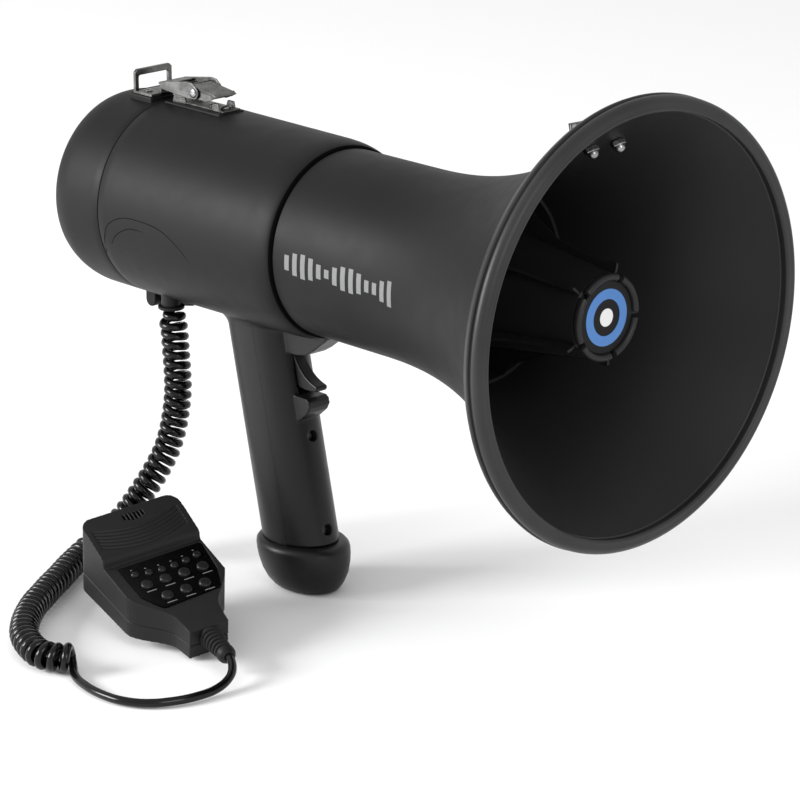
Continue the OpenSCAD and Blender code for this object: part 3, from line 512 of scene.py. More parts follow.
def make_rim():
    """Rubber rim: an inner lip, a rounded front bead, a groove, and a band that runs back over the flare."""
    front = MOUTH_X - 1.0
    outline = [(front + 2.6 + 1.5 * math.cos(math.radians(a)) * 0.9, 108.5 + 1.6 * math.sin(math.radians(a)))
               for a in range(-90, 31, 15)]
    outline += arc(front, 110.9, 4.1, 8, 88, 9)
    outline += [(front - 0.9, 114.8), (front - 1.2, 113.9), (front - 1.9, 113.6), (front - 2.5, 114.0)]
    outline += [(front - 2.9, 115.0), (front - 3.6, 115.3), (front - 5.4, 114.6), (front - 8.0, 112.4),
                (front - 10.6, 109.6), (front - 11.9, 107.9), (front - 12.2, 106.9), (front - 11.9, 106.3)]
    inside = [lerp(front - 11.6, front - 1.0, i / 6) for i in range(7)]
    outline += [(x, horn_r(x) + 0.12) for x in inside]
    outline += [(front - 1.0, horn_r(front - 1) - 2.5), (front - 0.6, 107.4)]
    revolve("rim_channel", outline, RIM, n=224, replaces=("rim_trim",), slot="rim_rubber", smooth_angle=28.0)


make_horn()
make_rim()


# ---------------------------------------------------------------- reflector
FIN_ANGLES = [66 + 72 * i for i in range(5)]


def turned(verts, angle):
    """Turns points about the horn's axis, from +Y towards +Z."""
    a = math.radians(angle)
    out = []
    for x, y, z in verts:
        z -= AXIS_Z
        out.append((x, y * math.cos(a) - z * math.sin(a), AXIS_Z + y * math.sin(a) + z * math.cos(a)))
    return out


def make_reflector():
    cup = [(140, 29.6), (140.4, 31.0), (141.4, 31.5)]
    cup += [(lerp(142, 218, i / 8), lerp(31.3, 21.9, i / 8)) for i in range(9)]
    cup += [(219.4, 21.6), (220.0, 20.9), (220.0, 2.6), (217.2, 2.6), (217.0, 19.6)]
    parts = [revolve_data(cup, 128)]
    seat = [(128 + 3 * i, horn_r(128 + 3 * i) - 2.35) for i in range(5)]
    ring = [(128, seat[0][1] - 1.8)] + seat + [(140, seat[4][1] - 1.8)]
    parts.append(revolve_data(ring, 128))
    for angle in FIN_ANGLES:
        fin = [(129, 31.2), (140, 30.6), (219.2, 20.9), (219.6, 24.0), (218.9, 27.2), (217.4, 27.8),
               (212.0, 26.6), (200, 27.4), (176, 31.6), (150, 43), (139.6, seat[4][1] - 0.9), (129, seat[0][1] - 0.7)]
        verts, faces = prism_data([(x, AXIS_Z + r) for x, r in fin], -0.7, 0.7)
        parts.append((turned(verts, angle - 90), faces))
    # The reflector's body takes the lighter copy of the black plastic: painted light.
    add_mesh("reflector_body", *join_data(*parts), INSIDE_PAINTED_LIGHT, replaces=("reflector_cup",), slot="black_plastic")
    lobes = [lobe_data(angle + 2.6, angle + 69.4) for angle in FIN_ANGLES]
    add_mesh("reflector_lobes", *join_data(*lobes), RING, replaces=("reflector_ring",), slot="gloss_black",
             smooth_angle=50.0)


def lobe_data(start, end):
    """One fifth of the fat ring around the emblem, with rounded ends."""
    section = [(math.cos(math.radians(a)), math.sin(math.radians(a))) for a in range(0, 360, 24)]
    steps = 30
    verts = []
    for i in range(steps + 1):
        t = i / steps
        edge = min(t, 1 - t) * (end - start)
        size = min(1.0, math.sqrt(max(0.0, 1 - (1 - min(edge / 4.0, 1.0)) ** 2)) + 0.12)
        a = math.radians(90 - lerp(start, end, t))
        for sx, sr in section:
            x = 221.9 + 2.2 * sx * size + (0.4 if sx > 0 else 0.0)
            r = 20.6 + 2.0 * sr * size
            verts.append((x, r * math.sin(a), AXIS_Z + r * math.cos(a)))
    return verts, tube_faces(steps + 1, len(section))


def make_emblem():
    """Generic mark: a blue ring around a white dot."""
    face = [(220.3, 0.4), (220.3, 18.6), (222.0, 18.6), (222.3, 18.3), (222.3, 0.4)]
    add_mesh("emblem_face", *revolve_data(face, 96), BLACK, replaces=("emblem_disc",),
             slot="emblem")
    for name, r0, r1, mat in (("emblem_ring", 9.4, 14.6, BLUE), ("emblem_dot", 0.0, 4.6, WHITE)):
        profile = [(222.2, r0), (222.2, r1), (222.5, r1), (222.55, r1 - 0.2), (222.55, r0)]
        add_mesh(name, *revolve_data(profile, 96), mat, slot="emblem")


make_reflector()
make_emblem()


# ---------------------------------------------------------------- body tube and handle
RAKE_ANGLE = math.radians(12.7)
RAKE = math.tan(RAKE_ANGLE)
# Half of the handle's depth and width, and its parting line's distance ahead of its centre
GRIP_A = 23.5
GRIP_B = 18.7
SPLIT = 8.0
GRIP_WALL = 2.4
TUBE_R_AT_GRIP = 55.0


def grip_centre(z):
    """x of the raked handle's centre at height z."""
    return -16.9 + (82.6 - z) * RAKE


def body_r(x):
    """Outer radius of the slightly tapered body tube."""
    return lerp(BODY_R_REAR, BODY_R_FRONT, (x - SEAM_X) / (14 - SEAM_X))


def make_body():
    outer = [(SEAM_X, 53.2), (SEAM_X, 55.0), (SEAM_X + 0.15, 55.35), (SEAM_X + 0.5, 55.55)]
    outer += [(SEAM_X + 6, body_r(SEAM_X + 6))]
    outer += [(x, body_r(x)) for x in (-70, -30, 0, 12)]
    outer += [(14 + 16 * math.cos(math.radians(a)), 51.7 + 2.8 * math.sin(math.radians(a)))
              for a in range(90, 5, -7)]  # the rolled front edge
    outer += [(29.9, 51.2), (27.5, 51.0)]
    inner = [(10, 51.0), (10, 51.9)]
    revolve("body_tube", outer + inner, BLACK, n=192, replaces=("body_shell",), slot="black_plastic")


def grip_point(z, phi, grow=0.0):
    """A point of the handle's wall at height z; phi is 0 at the front."""
    a = (GRIP_A + grow) / math.cos(RAKE_ANGLE)
    b = GRIP_B + grow
    return Vector((grip_centre(z) + a * math.cos(phi), b * math.sin(phi), z))


def under_body(y):
    """Height of the body tube's underside at y."""
    return AXIS_Z - math.sqrt(max(0.0, TUBE_R_AT_GRIP ** 2 - y * y))


def grip_fillet(phi):
    """Radius of the fillet under the body: wider at the back."""
    return 4.0 + 4.5 * max(0.0, -math.cos(phi)) ** 1.5


def grip_rows(phis, z0, grow=0.0):
    """Rings of the handle's wall from z0 up, flared out into the body at the top."""
    straight = 128  # height of the last ring below the flare
    rows = [[grip_point(lerp(z0, straight, i / 30), phi, grow) for phi in phis] for i in range(31)]
    steps = 18
    for s in range(1, steps + 1):
        row = []
        for phi in phis:
            r = grip_fillet(phi)
            out = Vector((math.cos(phi) / GRIP_A, math.sin(phi) / GRIP_B, 0)).normalized()
            start = under_body(GRIP_B * math.sin(phi)) + 0.9 - r
            t = s / steps
            if t <= 0.3:
                row.append(grip_point(lerp(straight, start, t / 0.3), phi, grow))
                continue
            a = math.radians(90) * (t - 0.3) / 0.7
            p = grip_point(start + r * math.sin(a), phi, grow) + out * (r * (1 - math.cos(a)))
            p.z += (under_body(p.y) - under_body(GRIP_B * math.sin(phi))) * math.sin(a)
            row.append(p)
        rows.append(row)
    return rows


def make_grip_rear():
    """The rear strip of the handle's wall, up to the parting line on both sides."""
    cols = 84
    phi = math.acos((SPLIT - 0.1) / GRIP_A)
    rows = grip_rows([lerp(phi, math.tau - phi, k / cols) for k in range(cols + 1)], 28.1)
    m = cols + 1
    faces = [(i * m + k, i * m + k + 1, (i + 1) * m + k + 1, (i + 1) * m + k)
             for i in range(len(rows) - 1) for k in range(cols)]
    obj = add_mesh("grip_rear", [v for row in rows for v in row], faces, HANDLE, slot="black_plastic")
    mod = obj.modifiers.new("wall", "SOLIDIFY")
    mod.thickness = GRIP_WALL * MM
    mod.offset = 1.0
    apply_modifiers(obj)
    finish_mesh(obj, HANDLE)


def soften(obj, voxel, passes, mat):
    """Rounds every edge: even remesh, then smoothing, then fewer faces."""
    remesh = obj.modifiers.new("even", "REMESH")
    remesh.mode = "VOXEL"
    remesh.voxel_size = voxel * MM
    smooth = obj.modifiers.new("smooth", "SMOOTH")
    smooth.factor = 0.5
    smooth.iterations = passes
    thin = obj.modifiers.new("thin", "DECIMATE")
    thin.ratio = 0.35
    apply_modifiers(obj)
    finish_mesh(obj, mat, 50.0)


# Side outlines [(x, z)]: the guard under the trigger, and the chin over it
GUARD = [(-4, 95), (0.5, 95.6), (5.2, 99.0), (9.8, 103.0), (11.6, 106.2), (11.4, 109.4), (9, 111.2), (-8, 111.2)]
CHIN = [(-14, 134.5), (2, 134.5), (8.5, 135.7), (14, 139), (22, 145), (27, 149.2), (-14, 149.2)]
SCREW_HEIGHTS = (87.8, 36.4)


def make_handle_front():
    """The front cover, which runs on under the rear strip for a short way."""
    rings = grip_rows([k * math.tau / 96 for k in range(96)], 28.15, -0.07)
    rings.append([Vector((p.x, p.y, 151.5)) for p in rings[-1]])
    cover = loose("cover", *loft_data(rings))
    combine(cover, [loose("block", *prism_data(outline, -7.5, 7.5)) for outline in (GUARD, CHIN)], "UNION")
    gap = SPLIT - 1.7
    behind = [(grip_centre(10) + gap, 10), (grip_centre(10) - 90, 10), (grip_centre(170) - 90, 170),
              (grip_centre(170) + gap, 170)]
    cuts = [loose("behind", *prism_data(behind, -60, 60)),
            loose("barrel", *rod_data((-60, 0, AXIS_Z), (60, 0, AXIS_Z), 53.6, n=192)),
            loose("slot", *box_data(-26, 60, -4.5, 4.5, 111.3, 134.4)),
            loose("scoop", *rod_data((11, -40, 123.2), (11, 40, 123.2), 11.4, n=96))]
    for z in SCREW_HEIGHTS:
        start = Vector((grip_centre(z) + GRIP_A, 0, z))
        lean = Vector((-math.cos(RAKE_ANGLE), 0, -math.sin(RAKE_ANGLE)))
        cuts.append(loose("bore", *rod_data(start - lean * 8, start + lean * 5.4, 3.1)))
    combine(cover, cuts)
    cover.name = "grip_front"
    soften(cover, 0.5, 4, HANDLE)
    place(cover, "megaphone", ("handle_front",))


# Rings of the foot: height, half depth, half width
FOOT = [(0, 19, 13.5), (0.6, 20.4, 14.9), (1.6, 21.6, 16.2), (5, 24.2, 19.0), (10, 26.8, 21.2),
        (16, 28.4, 22.6), (20, 28.9, 23.1), (23.5, 29.0, 23.2), (25.4, 28.6, 22.8), (26.6, 27.6, 21.8),
        (27.3, 26.4, 20.8), (27.6, 25, 19.6)]


def make_foot():
    rings = []
    for z, a, b in FOOT:
        cx = grip_centre(0) - z * RAKE * 0.5 - 1.7
        rings.append([(cx + a * math.cos(k * math.tau / 96), b * math.sin(k * math.tau / 96), z + 0.02)
                      for k in range(96)])
    add_mesh("grip_foot", *loft_data(rings), HANDLE, replaces=("handle_foot",), slot="dark_plastic",
             smooth_angle=40.0)


TRIGGER = [(-12, 132.6), (-5, 133.2), (-2.4, 129), (-0.6, 126.6), (1.5, 124.4), (3.7, 122.4),
           (6, 120.9), (8.5, 119.7), (11, 118.8), (13.2, 118.2), (14, 116.8), (13, 115.2),
           (10, 114.6), (4, 114.4), (-5, 115.6), (-10.5, 117), (-12.4, 124)]


def make_trigger():
    obj = add_mesh("trigger_blade", *prism_data(TRIGGER, -3.9, 3.9), HANDLE, "trigger_body", replaces=("trigger",),
                   slot="dark_plastic", smooth_angle=40.0)
    bevelled(obj, 0.9, 4)
    add_mesh("trigger_axle", *rod_data((-8, -8.6, 130), (-8, 8.6, 130), 1.5), BRIGHT, replaces=("trigger_pin",),
             slot="bright_steel")


CAP_REAR_X = -154.6


def make_cap():
    outline = [(SEAM_X - 0.3, 52.9), (SEAM_X - 0.3, 54.9), (SEAM_X - 0.5, 55.35), (SEAM_X - 1.1, BODY_R_REAR)]
    outline += [(x, BODY_R_REAR) for x in (SEAM_X - 6, -120, -130)]
    for a in range(86, -1, -6):
        inset = 0.7 if a < 48 else 0.0
        outline.append((CAP_REAR_X + 22 - (22 - inset) * math.cos(math.radians(a)),
                        42.6 + (13 - inset) * math.sin(math.radians(a))))
    outline += [(CAP_REAR_X, 30), (CAP_REAR_X, 0.01)]
    inner = [(CAP_REAR_X + 2.6, 0.01), (CAP_REAR_X + 2.6, 40), (CAP_REAR_X + 10, 48), (CAP_REAR_X + 22, 53)]
    cap = loose("cap", *revolve_data(outline + inner, 192))
    combine(cap, [loose("notch", *box_data(-117, -105, -9, 9, 140, 154))])
    cap.name = "door_shell"
    finish_mesh(cap, BLACK, 32.0)
    place(cap, "battery_door", ("rear_cap",))
    pad = add_mesh("strap_pad", *box_data(-128, -109.5, -13.6, 13.6, 250, 259.2), BLACK, "battery_door",
                   slot="black_plastic")
    bevelled(pad, 1.0, 3)
    lugs = [rod_lug(-112, 143.5, y, y + 5.8) for y in (-15, 9.2)]
    lug = add_mesh("door_lugs", *join_data(*lugs), BLACK, "battery_door", slot="black_plastic")
    bevelled(lug, 0.5, 2)


def rod_lug(x, z, y0, y1):
    """A hinge lug: a rounded eye under a square root."""
    return prism_data(arc(x, z, 4, 180, 360, 15) + [(x + 4, z + 5.6), (x - 4, z + 5.6)], y0, y1)


def make_body_details():
    leaf = [(-112, 139.5), (-96, 141.5), (-84, 144), (-84, 149), (-106.4, 149), (-106.4, 146), (-112, 147.5),
            (-114.6, 146.4), (-116, 143.5), (-114.6, 140.6)]
    obj = add_mesh("hinge_leaf", *prism_data(leaf, -8, 8), BLACK, slot="black_plastic")
    bevelled(obj, 0.6, 2)
    pad = add_mesh("latch_pad", *box_data(-103.6, -57.6, -9, 9, 250, 257.7), BLACK, slot="black_plastic")
    bevelled(pad, 0.8, 3)


def on_tube(x, phi, r):
    """A point beside the tube: phi degrees above the horizontal, on the near side."""
    a = math.radians(phi)
    return (x, -r * math.cos(a), AXIS_Z + r * math.sin(a))


def patch_data(x0, x1, phi0, phi1, radius, lift, slant=0.0):
    """A thin raised patch that follows a tube's side."""
    nx, ny = 4, 8
    verts, faces = [], []
    for layer in (-0.15, lift):
        for i in range(nx + 1):
            for j in range(ny + 1):
                x = lerp(x0, x1, i / nx) + slant * (j / ny - 0.5)
                verts.append(on_tube(x, lerp(phi0, phi1, j / ny), radius(x) + layer))
    m = ny + 1
    top = (nx + 1) * m
    for i in range(nx):
        for j in range(ny):
            a = i * m + j
            faces += [(a, a + 1, a + m + 1, a + m), (top + a, top + a + m, top + a + m + 1, top + a + 1)]
    edge = [(i, 0) for i in range(nx)] + [(nx, j) for j in range(ny)]
    edge += [(i, ny) for i in range(nx, 0, -1)] + [(0, j) for j in range(ny, 0, -1)]
    ids = [i * m + j for i, j in edge]
    faces += [(a, b, b + top, a + top) for a, b in zip(ids, ids[1:] + ids[:1])]
    return verts, faces


def make_neck_print():
    """Plain level bars, like a volume scale, in light grey."""
    bars = []
    for i in range(14):
        size = 2.0 + 5.4 * abs(math.sin(0.55 * i + 0.5))
        bars.append(patch_data(41 + 6.1 * i, 44.4 + 6.1 * i, 1.5 - size, 1.5 + size, horn_r, 0.09))
    add_mesh("neck_level_bars", *join_data(*bars), PRINT, slot="black_plastic")


OUTER_ARCH = [(-105.5, -24), (-103, -14), (-98, -5), (-86, 1), (-70, 2), (-54, 0), (-42, -6), (-33, -14), (-25, -24)]
INNER_ARCH = [(-98, -17), (-93, -11), (-87, -7), (-79, -4), (-65, -4)]


def make_body_lines():
    """Fine parting lines of the side lid, and a dark ring of painted shade at the neck."""
    lines = []
    for arch in (OUTER_ARCH, INNER_ARCH):
        path = spline([on_tube(x, phi, body_r(x) - 0.06) for x, phi in arch], 70)
        lines.append(sweep_data(path, [0.2 * min(1.0, 0.1 + (69 - i) / 22) for i in range(70)], 8))
    add_mesh("body_lines", *join_data(*lines), GROOVE, slot="black_plastic")
    # Painted shade: a dark ring where the body's rolled front edge turns away from the light beside the neck,
    # standing in for its shadow.
    ring = [(28.6, 50.6), (28.6, 51.9), (29.4, 52.3), (30.6, 52.1), (31.6, 51.3), (31.9, 50.6)]
    revolve("neck_shade_ring", ring, GROOVE, n=160, slot="black_plastic")


make_body()
make_neck_print()
make_body_lines()
make_body_details()
make_grip_rear()
make_handle_front()
make_foot()
make_trigger()
make_cap()


# ---------------------------------------------------------------- metal fittings
def plate(name, parts, mat, body, edge, **kw):
    """A pressed steel piece with its edges broken by edge."""
    obj = add_mesh(name, *join_data(*parts), mat, body, smooth_angle=40.0, **kw)
    bevelled(obj, edge, 2)


def rivet(centre, direction, r, height):
    """A low domed head standing on centre."""
    profile = [(0, r * 0.96), (height * 0.3, r)]
    profile += [(height * (0.3 + 0.7 * math.sin(math.radians(a))), r * math.cos(math.radians(a)))
                for a in (25, 50, 72)]
    profile += [(height, r * 0.02)]
    end = Vector(centre) + Vector(direction)
    return turned_stack_data(centre, end, profile, 28)


def make_strap_loop():
    x0, z0, half = -125.0, 259.2, 13.1
    top = z0 + 13.3
    border = [(-half, z0 + 1), (half, z0 + 1), (half, top - 1.6), (half - 1.6, top), (-half + 1.6, top),
              (-half, top - 1.6)]
    window = [(-half + 2.4, z0 + 1.5), (half - 2.4, z0 + 1.5), (half - 2.4, top - 4.4), (half - 3.2, top - 3.5),
              (-half + 3.2, top - 3.5), (-half + 2.4, top - 4.4)]
    verts = [(x, y, z) for x in (x0, x0 + 2) for ring in (border, window) for y, z in ring]
    faces = []
    for i in range(6):
        j = (i + 1) % 6
        faces += [(i, j, 6 + j, 6 + i), (12 + i, 18 + i, 18 + j, 12 + j),
                  (i, 12 + i, 12 + j, j), (6 + i, 6 + j, 18 + j, 18 + i)]
    parts = [(verts, faces), box_data(x0, x0 + 15.4, -half, half, z0 + 0.02, z0 + 1.5),
             box_data(x0 + 13.6, x0 + 15.4, -6, 6, z0, z0 + 5.2)]
    plate("rear_strap_loop", parts, STEEL, "battery_door", 0.45, replaces=("strap_loop",), slot="grey_steel")
    heads = [rivet((-118, y, z0 + 1.5), (0, 0, 1), 2.3, 1.3) for y in (-8, 8)]
    add_mesh("rear_strap_screws", *join_data(*heads), BRIGHT, "battery_door", slot="bright_steel")


def make_latch():
    z0 = 257.75
    ears = [(-99.5, z0), (-88, z0), (-91.8, 266.6), (-94, 267.2), (-96.4, 266.6)]
    tabs = [(-68, z0), (-61, z0), (-62, z0 + 4.4), (-66.4, z0 + 4.4)]
    parts = [box_data(-99.5, -57.5, -6.3, 6.3, z0, z0 + 1.1)]
    for y in (-6.3, 5.3):
        parts.append(prism_data(ears, y, y + 1))
    for y in (-6.1, 4.6):
        parts.append(prism_data(tabs, y, y + 1.5))
    plate("latch_plate", parts, STEEL, "megaphone", 0.25, replaces=("latch_base",), slot="bright_steel")
    heads = [rivet((x, 0, z0 + 1.05), (0, 0, 1), 2.4, 1.4) for x in (-73, -63)]
    add_mesh("latch_rivets", *join_data(*heads), BRIGHT, slot="bright_steel")
    side = [(-98, 261.8), (-96, 261), (-93, 261), (-80, 262.6), (-70, 262.4), (-65, 264.4), (-63.2, 266.2),
            (-64, 267.2), (-83.6, 269.9), (-86, 269), (-97.6, 266.8)]
    top = [(-65, 264.4), (-61.6, 266), (-64, 267.2), (-83.6, 269.9), (-84, 269), (-66, 266.2)]
    parts = [prism_data(side, -7.5, -6.5), prism_data(side, 6.5, 7.5), prism_data(top, -7.5, 7.5)]
    plate("latch_handle", parts, STEEL, "latch_lever_body", 0.3, replaces=("latch_lever",), slot="grey_steel")
    nose = arc(-79, 266, 3.6, 60, -80, 10)
    cheek = [(-107.6, 264), (-107, 268), (-84, 271.6), (-80, 271.2)] + nose + [(-84, 262.2)]
    bridge = [(-107.2, 265.1), (-98, 267.4), (-98, 268.8), (-107.2, 267.9)]
    parts = [prism_data(cheek, -9, -8), prism_data(cheek, 8, 9), box_data(-112, -105.8, -6, 6, 265.1, 266.5),
             prism_data(bridge, -8.4, 8.4)]
    plate("latch_hook", parts, STEEL, "latch_claw_body", 0.3, replaces=("latch_claw",), slot="grey_steel")
    heads = [rivet((-79, s * 9.15, 266), (0, s, 0), 2.6, 0.9) for s in (-1, 1)]
    heads += [rod_data((-79, -9.3, 266), (-79, -6.5, 266), 1.2), rod_data((-79, 6.5, 266), (-79, 9.3, 266), 1.2)]
    add_mesh("latch_rivet_pin", *join_data(*heads), BRIGHT, "latch_lever_body", replaces=("latch_claw_pin",),
             slot="bright_steel")


BRACKET_X = 217.0
BRACKET_SLOPE = math.radians(34)
BOLT_Y = 9.5


def on_horn_top(verts):
    """Puts points made on a flat floor onto the sloping top of the flare."""
    turn = Euler((0, -BRACKET_SLOPE, 0)).to_matrix()
    foot = Vector((BRACKET_X, 0, AXIS_Z + horn_r(BRACKET_X)))
    return [foot + turn @ Vector(v) for v in verts]


def make_bracket():
    base = box_data(-6, 5, -14.2, 14.2, 0.4, 2.0)
    cheek = [(208.5, 299.8), (209.8, 287.3), (211, 288), (221.5, 295.2), (223, 298), (222.6, 300.4), (221, 302.2)]
    bar = [(208.5, 299.8), (209.1, 294), (210.6, 294), (210.2, 300.2)]
    parts = [(on_horn_top(base[0]), base[1]), prism_data(cheek, -14.2, -12.8), prism_data(cheek, 12.8, 14.2),
             prism_data(bar, -14.2, 14.2)]
    plate("front_strap_bracket", parts, STEEL, "megaphone", 0.4, replaces=("strap_bracket",), slot="grey_steel")
    heads = []
    for s in (-1, 1):
        start, end = on_horn_top([(0, s * BOLT_Y, 1.9), (0, s * BOLT_Y, 3.9)])
        profile = [(0, 3.1), (0.5, 3.25), (1.1, 3.1), (1.6, 2.5), (1.95, 1.6), (2.05, 0.9), (1.3, 0.85), (1.3, 0.05)]
        heads.append(turned_stack_data(start, end, profile, 36))
        low, high = on_horn_top([(0, s * BOLT_Y, -7.0), (0, s * BOLT_Y, 1.9)])
        heads.append(rod_data(low, high, 1.9))
    add_mesh("bracket_bolts", *join_data(*heads), BRIGHT, replaces=("bracket_screws",), slot="bright_steel")
    nuts = []
    for s in (-1, 1):
        start, end = on_horn_top([(0, s * BOLT_Y, -2.5), (0, s * BOLT_Y, -6)])
        nuts.append(turned_stack_data(start, end, [(0, 3.6), (0.3, 3.9), (2.4, 3.9), (2.7, 3.6)], 6))
        dome = [(2.6, 2.9), (3.6, 2.9)] + [(3.6 + 2.6 * math.sin(math.radians(a)), 2.9 * math.cos(math.radians(a)))
                                           for a in range(15, 90, 15)]
        nuts.append(turned_stack_data(start, end, dome, 28))
    add_mesh("bracket_dome_nuts", *join_data(*nuts), BRIGHT, replaces=("bracket_nuts",), slot="bright_steel")


make_strap_loop()
make_latch()
make_bracket()


# ---------------------------------------------------------------- microphone
# Its foot, its tilt as it lies, half width, where it starts to narrow, its end, and the end's half width
MIC_AT = Vector((-41.6, -94.0, 21.4))
MIC_TURN = Euler((math.radians(6.2), math.radians(12.8), math.radians(-9.6)), "XYZ").to_matrix()
MIC_HALF = 29.5
MIC_LEN = 54.0
MIC_END = 88.0
MIC_END_HALF = 11.7
MIC_WALL = 2.4
KEY_SLOPE = math.radians(7.6)


def in_mic(verts):
    """Points of the microphone's own frame (along, across, up) as it lies on the floor."""
    return [MIC_AT + MIC_TURN @ Vector(v) for v in verts]


def in_mic_data(data):
    return in_mic(data[0]), data[1]


def mic_plan(w):
    """Plan of the casing [(along, across)], drawn in by w, with round corners and a soft waist."""
    a, b, end, c = MIC_HALF - w, MIC_END_HALF - w, MIC_END - w, 7.0 - 0.6 * w
    side = [(end, -b), (end - 6, -b - 0.5)]
    for i in range(13):
        t = i / 12
        s = t * t * (3 - 2 * t)
        side.append((lerp(end - 10, MIC_LEN - 2, t), -lerp(b + 1.0, a, s)))
    corner = arc(w + c, -a + c, c, 270, 180, 10)
    half = side + corner
    return half + [(u, -v) for u, v in reversed(half)]


def mic_slab(points):
    """A side outline [(along, up)], wider than the casing."""
    return prism_data(points, -60, 60)


def face_height(u):
    """Height of the keypad's plane at u along the microphone."""
    return 27.4 - (u - 27.0) * math.tan(KEY_SLOPE)


def on_face(verts, u):
    """Points made flat, tipped onto the sloping face above the middle line at u."""
    turn = Euler((0, KEY_SLOPE, 0)).to_matrix()
    foot = Vector((u, 0, face_height(u)))
    return [foot + turn @ Vector(v) for v in verts]


SMALL_KEYS = [(41.2 - 0.4 * (i - 2.5) ** 2, -16.6 + 7.54 * i) for i in range(6)]
MEDIUM_KEYS = [(48.2, -14.7), (48.2, -3.4), (48.2, 7.9), (48.2, 19.2), (60, -9.1), (60, 2.3), (60, 13.7)]
PANEL_OUTLINE = [(31, -22.6), (30.4, 26.8), (32, 28.2), (52, 25.6), (57, 24), (65.6, 20.4), (67.4, -14.6),
                 (63.4, -17.6), (55.4, -22.4)]


def panel_data(grow, low, high):
    """The keypad's panel, grown by grow, from low to high over the face."""
    outline = [(u - 49 + math.copysign(grow, u - 49), v + math.copysign(grow, v)) for u, v in PANEL_OUTLINE]
    verts, faces = plan_data(outline, low, high)
    return on_face(verts, 49), faces


def key_cylinder(key, r, low, high):
    u, v = key
    start, end = on_face([(0, v, low), (0, v, high)], u)
    return rod_data(start, end, r)


def make_mic_front():
    over = [(-1, 41.3), (12, 37.9), (25.4, 32.9), (27, 32.0), (27.9, 30.2), (28.5, 27.3), (MIC_LEN, 23.8),
            (MIC_END + 1, 16.7), (MIC_END + 1, 70), (-1, 70)]
    shell = loose("mic", *in_mic_data(plan_data(mic_plan(0), 0, 60)))
    cuts = [mic_slab([(-2, -20), (-2, 12.6), (MIC_END + 2, 8.0), (MIC_END + 2, -20)]), mic_slab(over)]
    core = loose("core", *in_mic_data(plan_data(mic_plan(MIC_WALL), -1, 60)))
    lid = [(-2, 38.9), (24.6, 30.6), (26.1, 25), (MIC_LEN, 21.4), (MIC_END + 2, 14.2), (MIC_END + 2, 90), (-2, 90)]
    combine(core, [loose("lid", *in_mic_data(mic_slab(lid)))])
    holes = [panel_data(0.25, -1.35, 14)]
    holes += [key_cylinder(k, 2.6, -8, 10) for k in SMALL_KEYS]
    holes += [key_cylinder(k, 3.7, -8, 10) for k in MEDIUM_KEYS]
    holes += [box_data(4.0, 9.6 - abs(i - 2.5) * 0.7, -5.4 + 2.2 * i, -4.0 + 2.2 * i, 20, 50) for i in range(6)]
    holes += [box_data(30, 52, MIC_HALF - 4, MIC_HALF + 4, 14.3, 21.9)]
    combine(shell, [loose("cut", *in_mic_data(c)) for c in cuts])
    arcs = []
    for row in range(7):
        path = [(9.0 + 2.15 * row + 5.0 * (1 - (v / 26.0) ** 2) - 2.0, float(v)) for v in range(-26, 27, 2)]
        arcs.append(sweep_data([(u, v, raised_height(u) + 0.12) for u, v in path], 0.8, 10))
    cutters = [loose("hole", *in_mic_data(h)) for h in holes] + [loose("arc", *in_mic_data(a)) for a in arcs]
    combine(shell, [core] + cutters)
    shell.name = "mic_front"
    soften(shell, 0.34, 1, MIC)
    place(shell, "megaphone", ("mic_front_shell",))


def raised_height(u):
    """Height of the raised face over the capsule."""
    return lerp(41.3, 37.9, (u + 1) / 13) if u < 12 else lerp(37.9, 32.9, (u - 12) / 13.4)


def make_mic_rear():
    shell = loose("mic_back", *in_mic_data(plan_data(mic_plan(0), 0, 30)))
    over = [(-2, 12.3), (MIC_END + 2, 7.7), (MIC_END + 2, 60), (-2, 60)]
    combine(shell, [loose("over", *in_mic_data(mic_slab(over))),
                    loose("core", *in_mic_data(plan_data(mic_plan(MIC_WALL), MIC_WALL, 60)))])
    shell.name = "mic_rear"
    soften(shell, 0.45, 4, MIC)
    place(shell, "megaphone", ("mic_rear_shell",))


def make_keys():
    for prefix, keys, r in (("small", SMALL_KEYS, 2.2), ("medium", MEDIUM_KEYS, 3.3)):
        for i, (u, v) in enumerate(keys, 1):
            start, end = in_mic(on_face([(0, v, -3.4), (0, v, 4)], u))
            top = 3.4 + 1.3  # stem below the face, and cap above it
            profile = [(0, r + 0.7), (0.6, r + 0.7), (0.8, r), (top - 1.0, r), (top - 0.6, r - 0.12),
                       (top - 0.25, r - 0.4), (top - 0.06, r - 0.9), (top - 0.12, r * 0.35), (top - 0.14, 0.02)]
            node = f"key_{prefix}_{i}"
            add_mesh(f"{prefix}_key_{i}", *turned_stack_data(start, end, profile, 40), KEYS, f"{node}_body",
                     replaces=(node,), slot="gloss_black", smooth_angle=60.0)


def make_mic_panel():
    panel = loose("panel", *in_mic_data(panel_data(0.0, -1.3, -0.25)))
    combine(panel, [loose("well", *in_mic_data(key_cylinder(k, r, -8, 8)))
                    for r, keys in ((2.45, SMALL_KEYS), (3.55, MEDIUM_KEYS)) for k in keys])
    panel.name = "mic_key_panel"
    finish_mesh(panel, PANEL, 30.0)
    bevelled(panel, 0.15, 2)
    place(panel, "megaphone", ("mic_panel",))
    ticks = [tick_data(u - 4.1, v, 0.3, 0.5) for u, v in SMALL_KEYS]
    ticks += [tick_data(u + 4.9, v + 0.3, 0.28, 2.9) for u, v in MEDIUM_KEYS]
    add_mesh("mic_panel_ticks", *join_data(*ticks), PRINT, slot="gloss_black")


def tick_data(u, v, du, dv):
    """A short plain mark on the panel."""
    verts, faces = box_data(-du, du, -dv, dv, -0.3, -0.2)
    return in_mic_data((on_face([(x, y + v, z) for x, y, z in verts], u), faces))


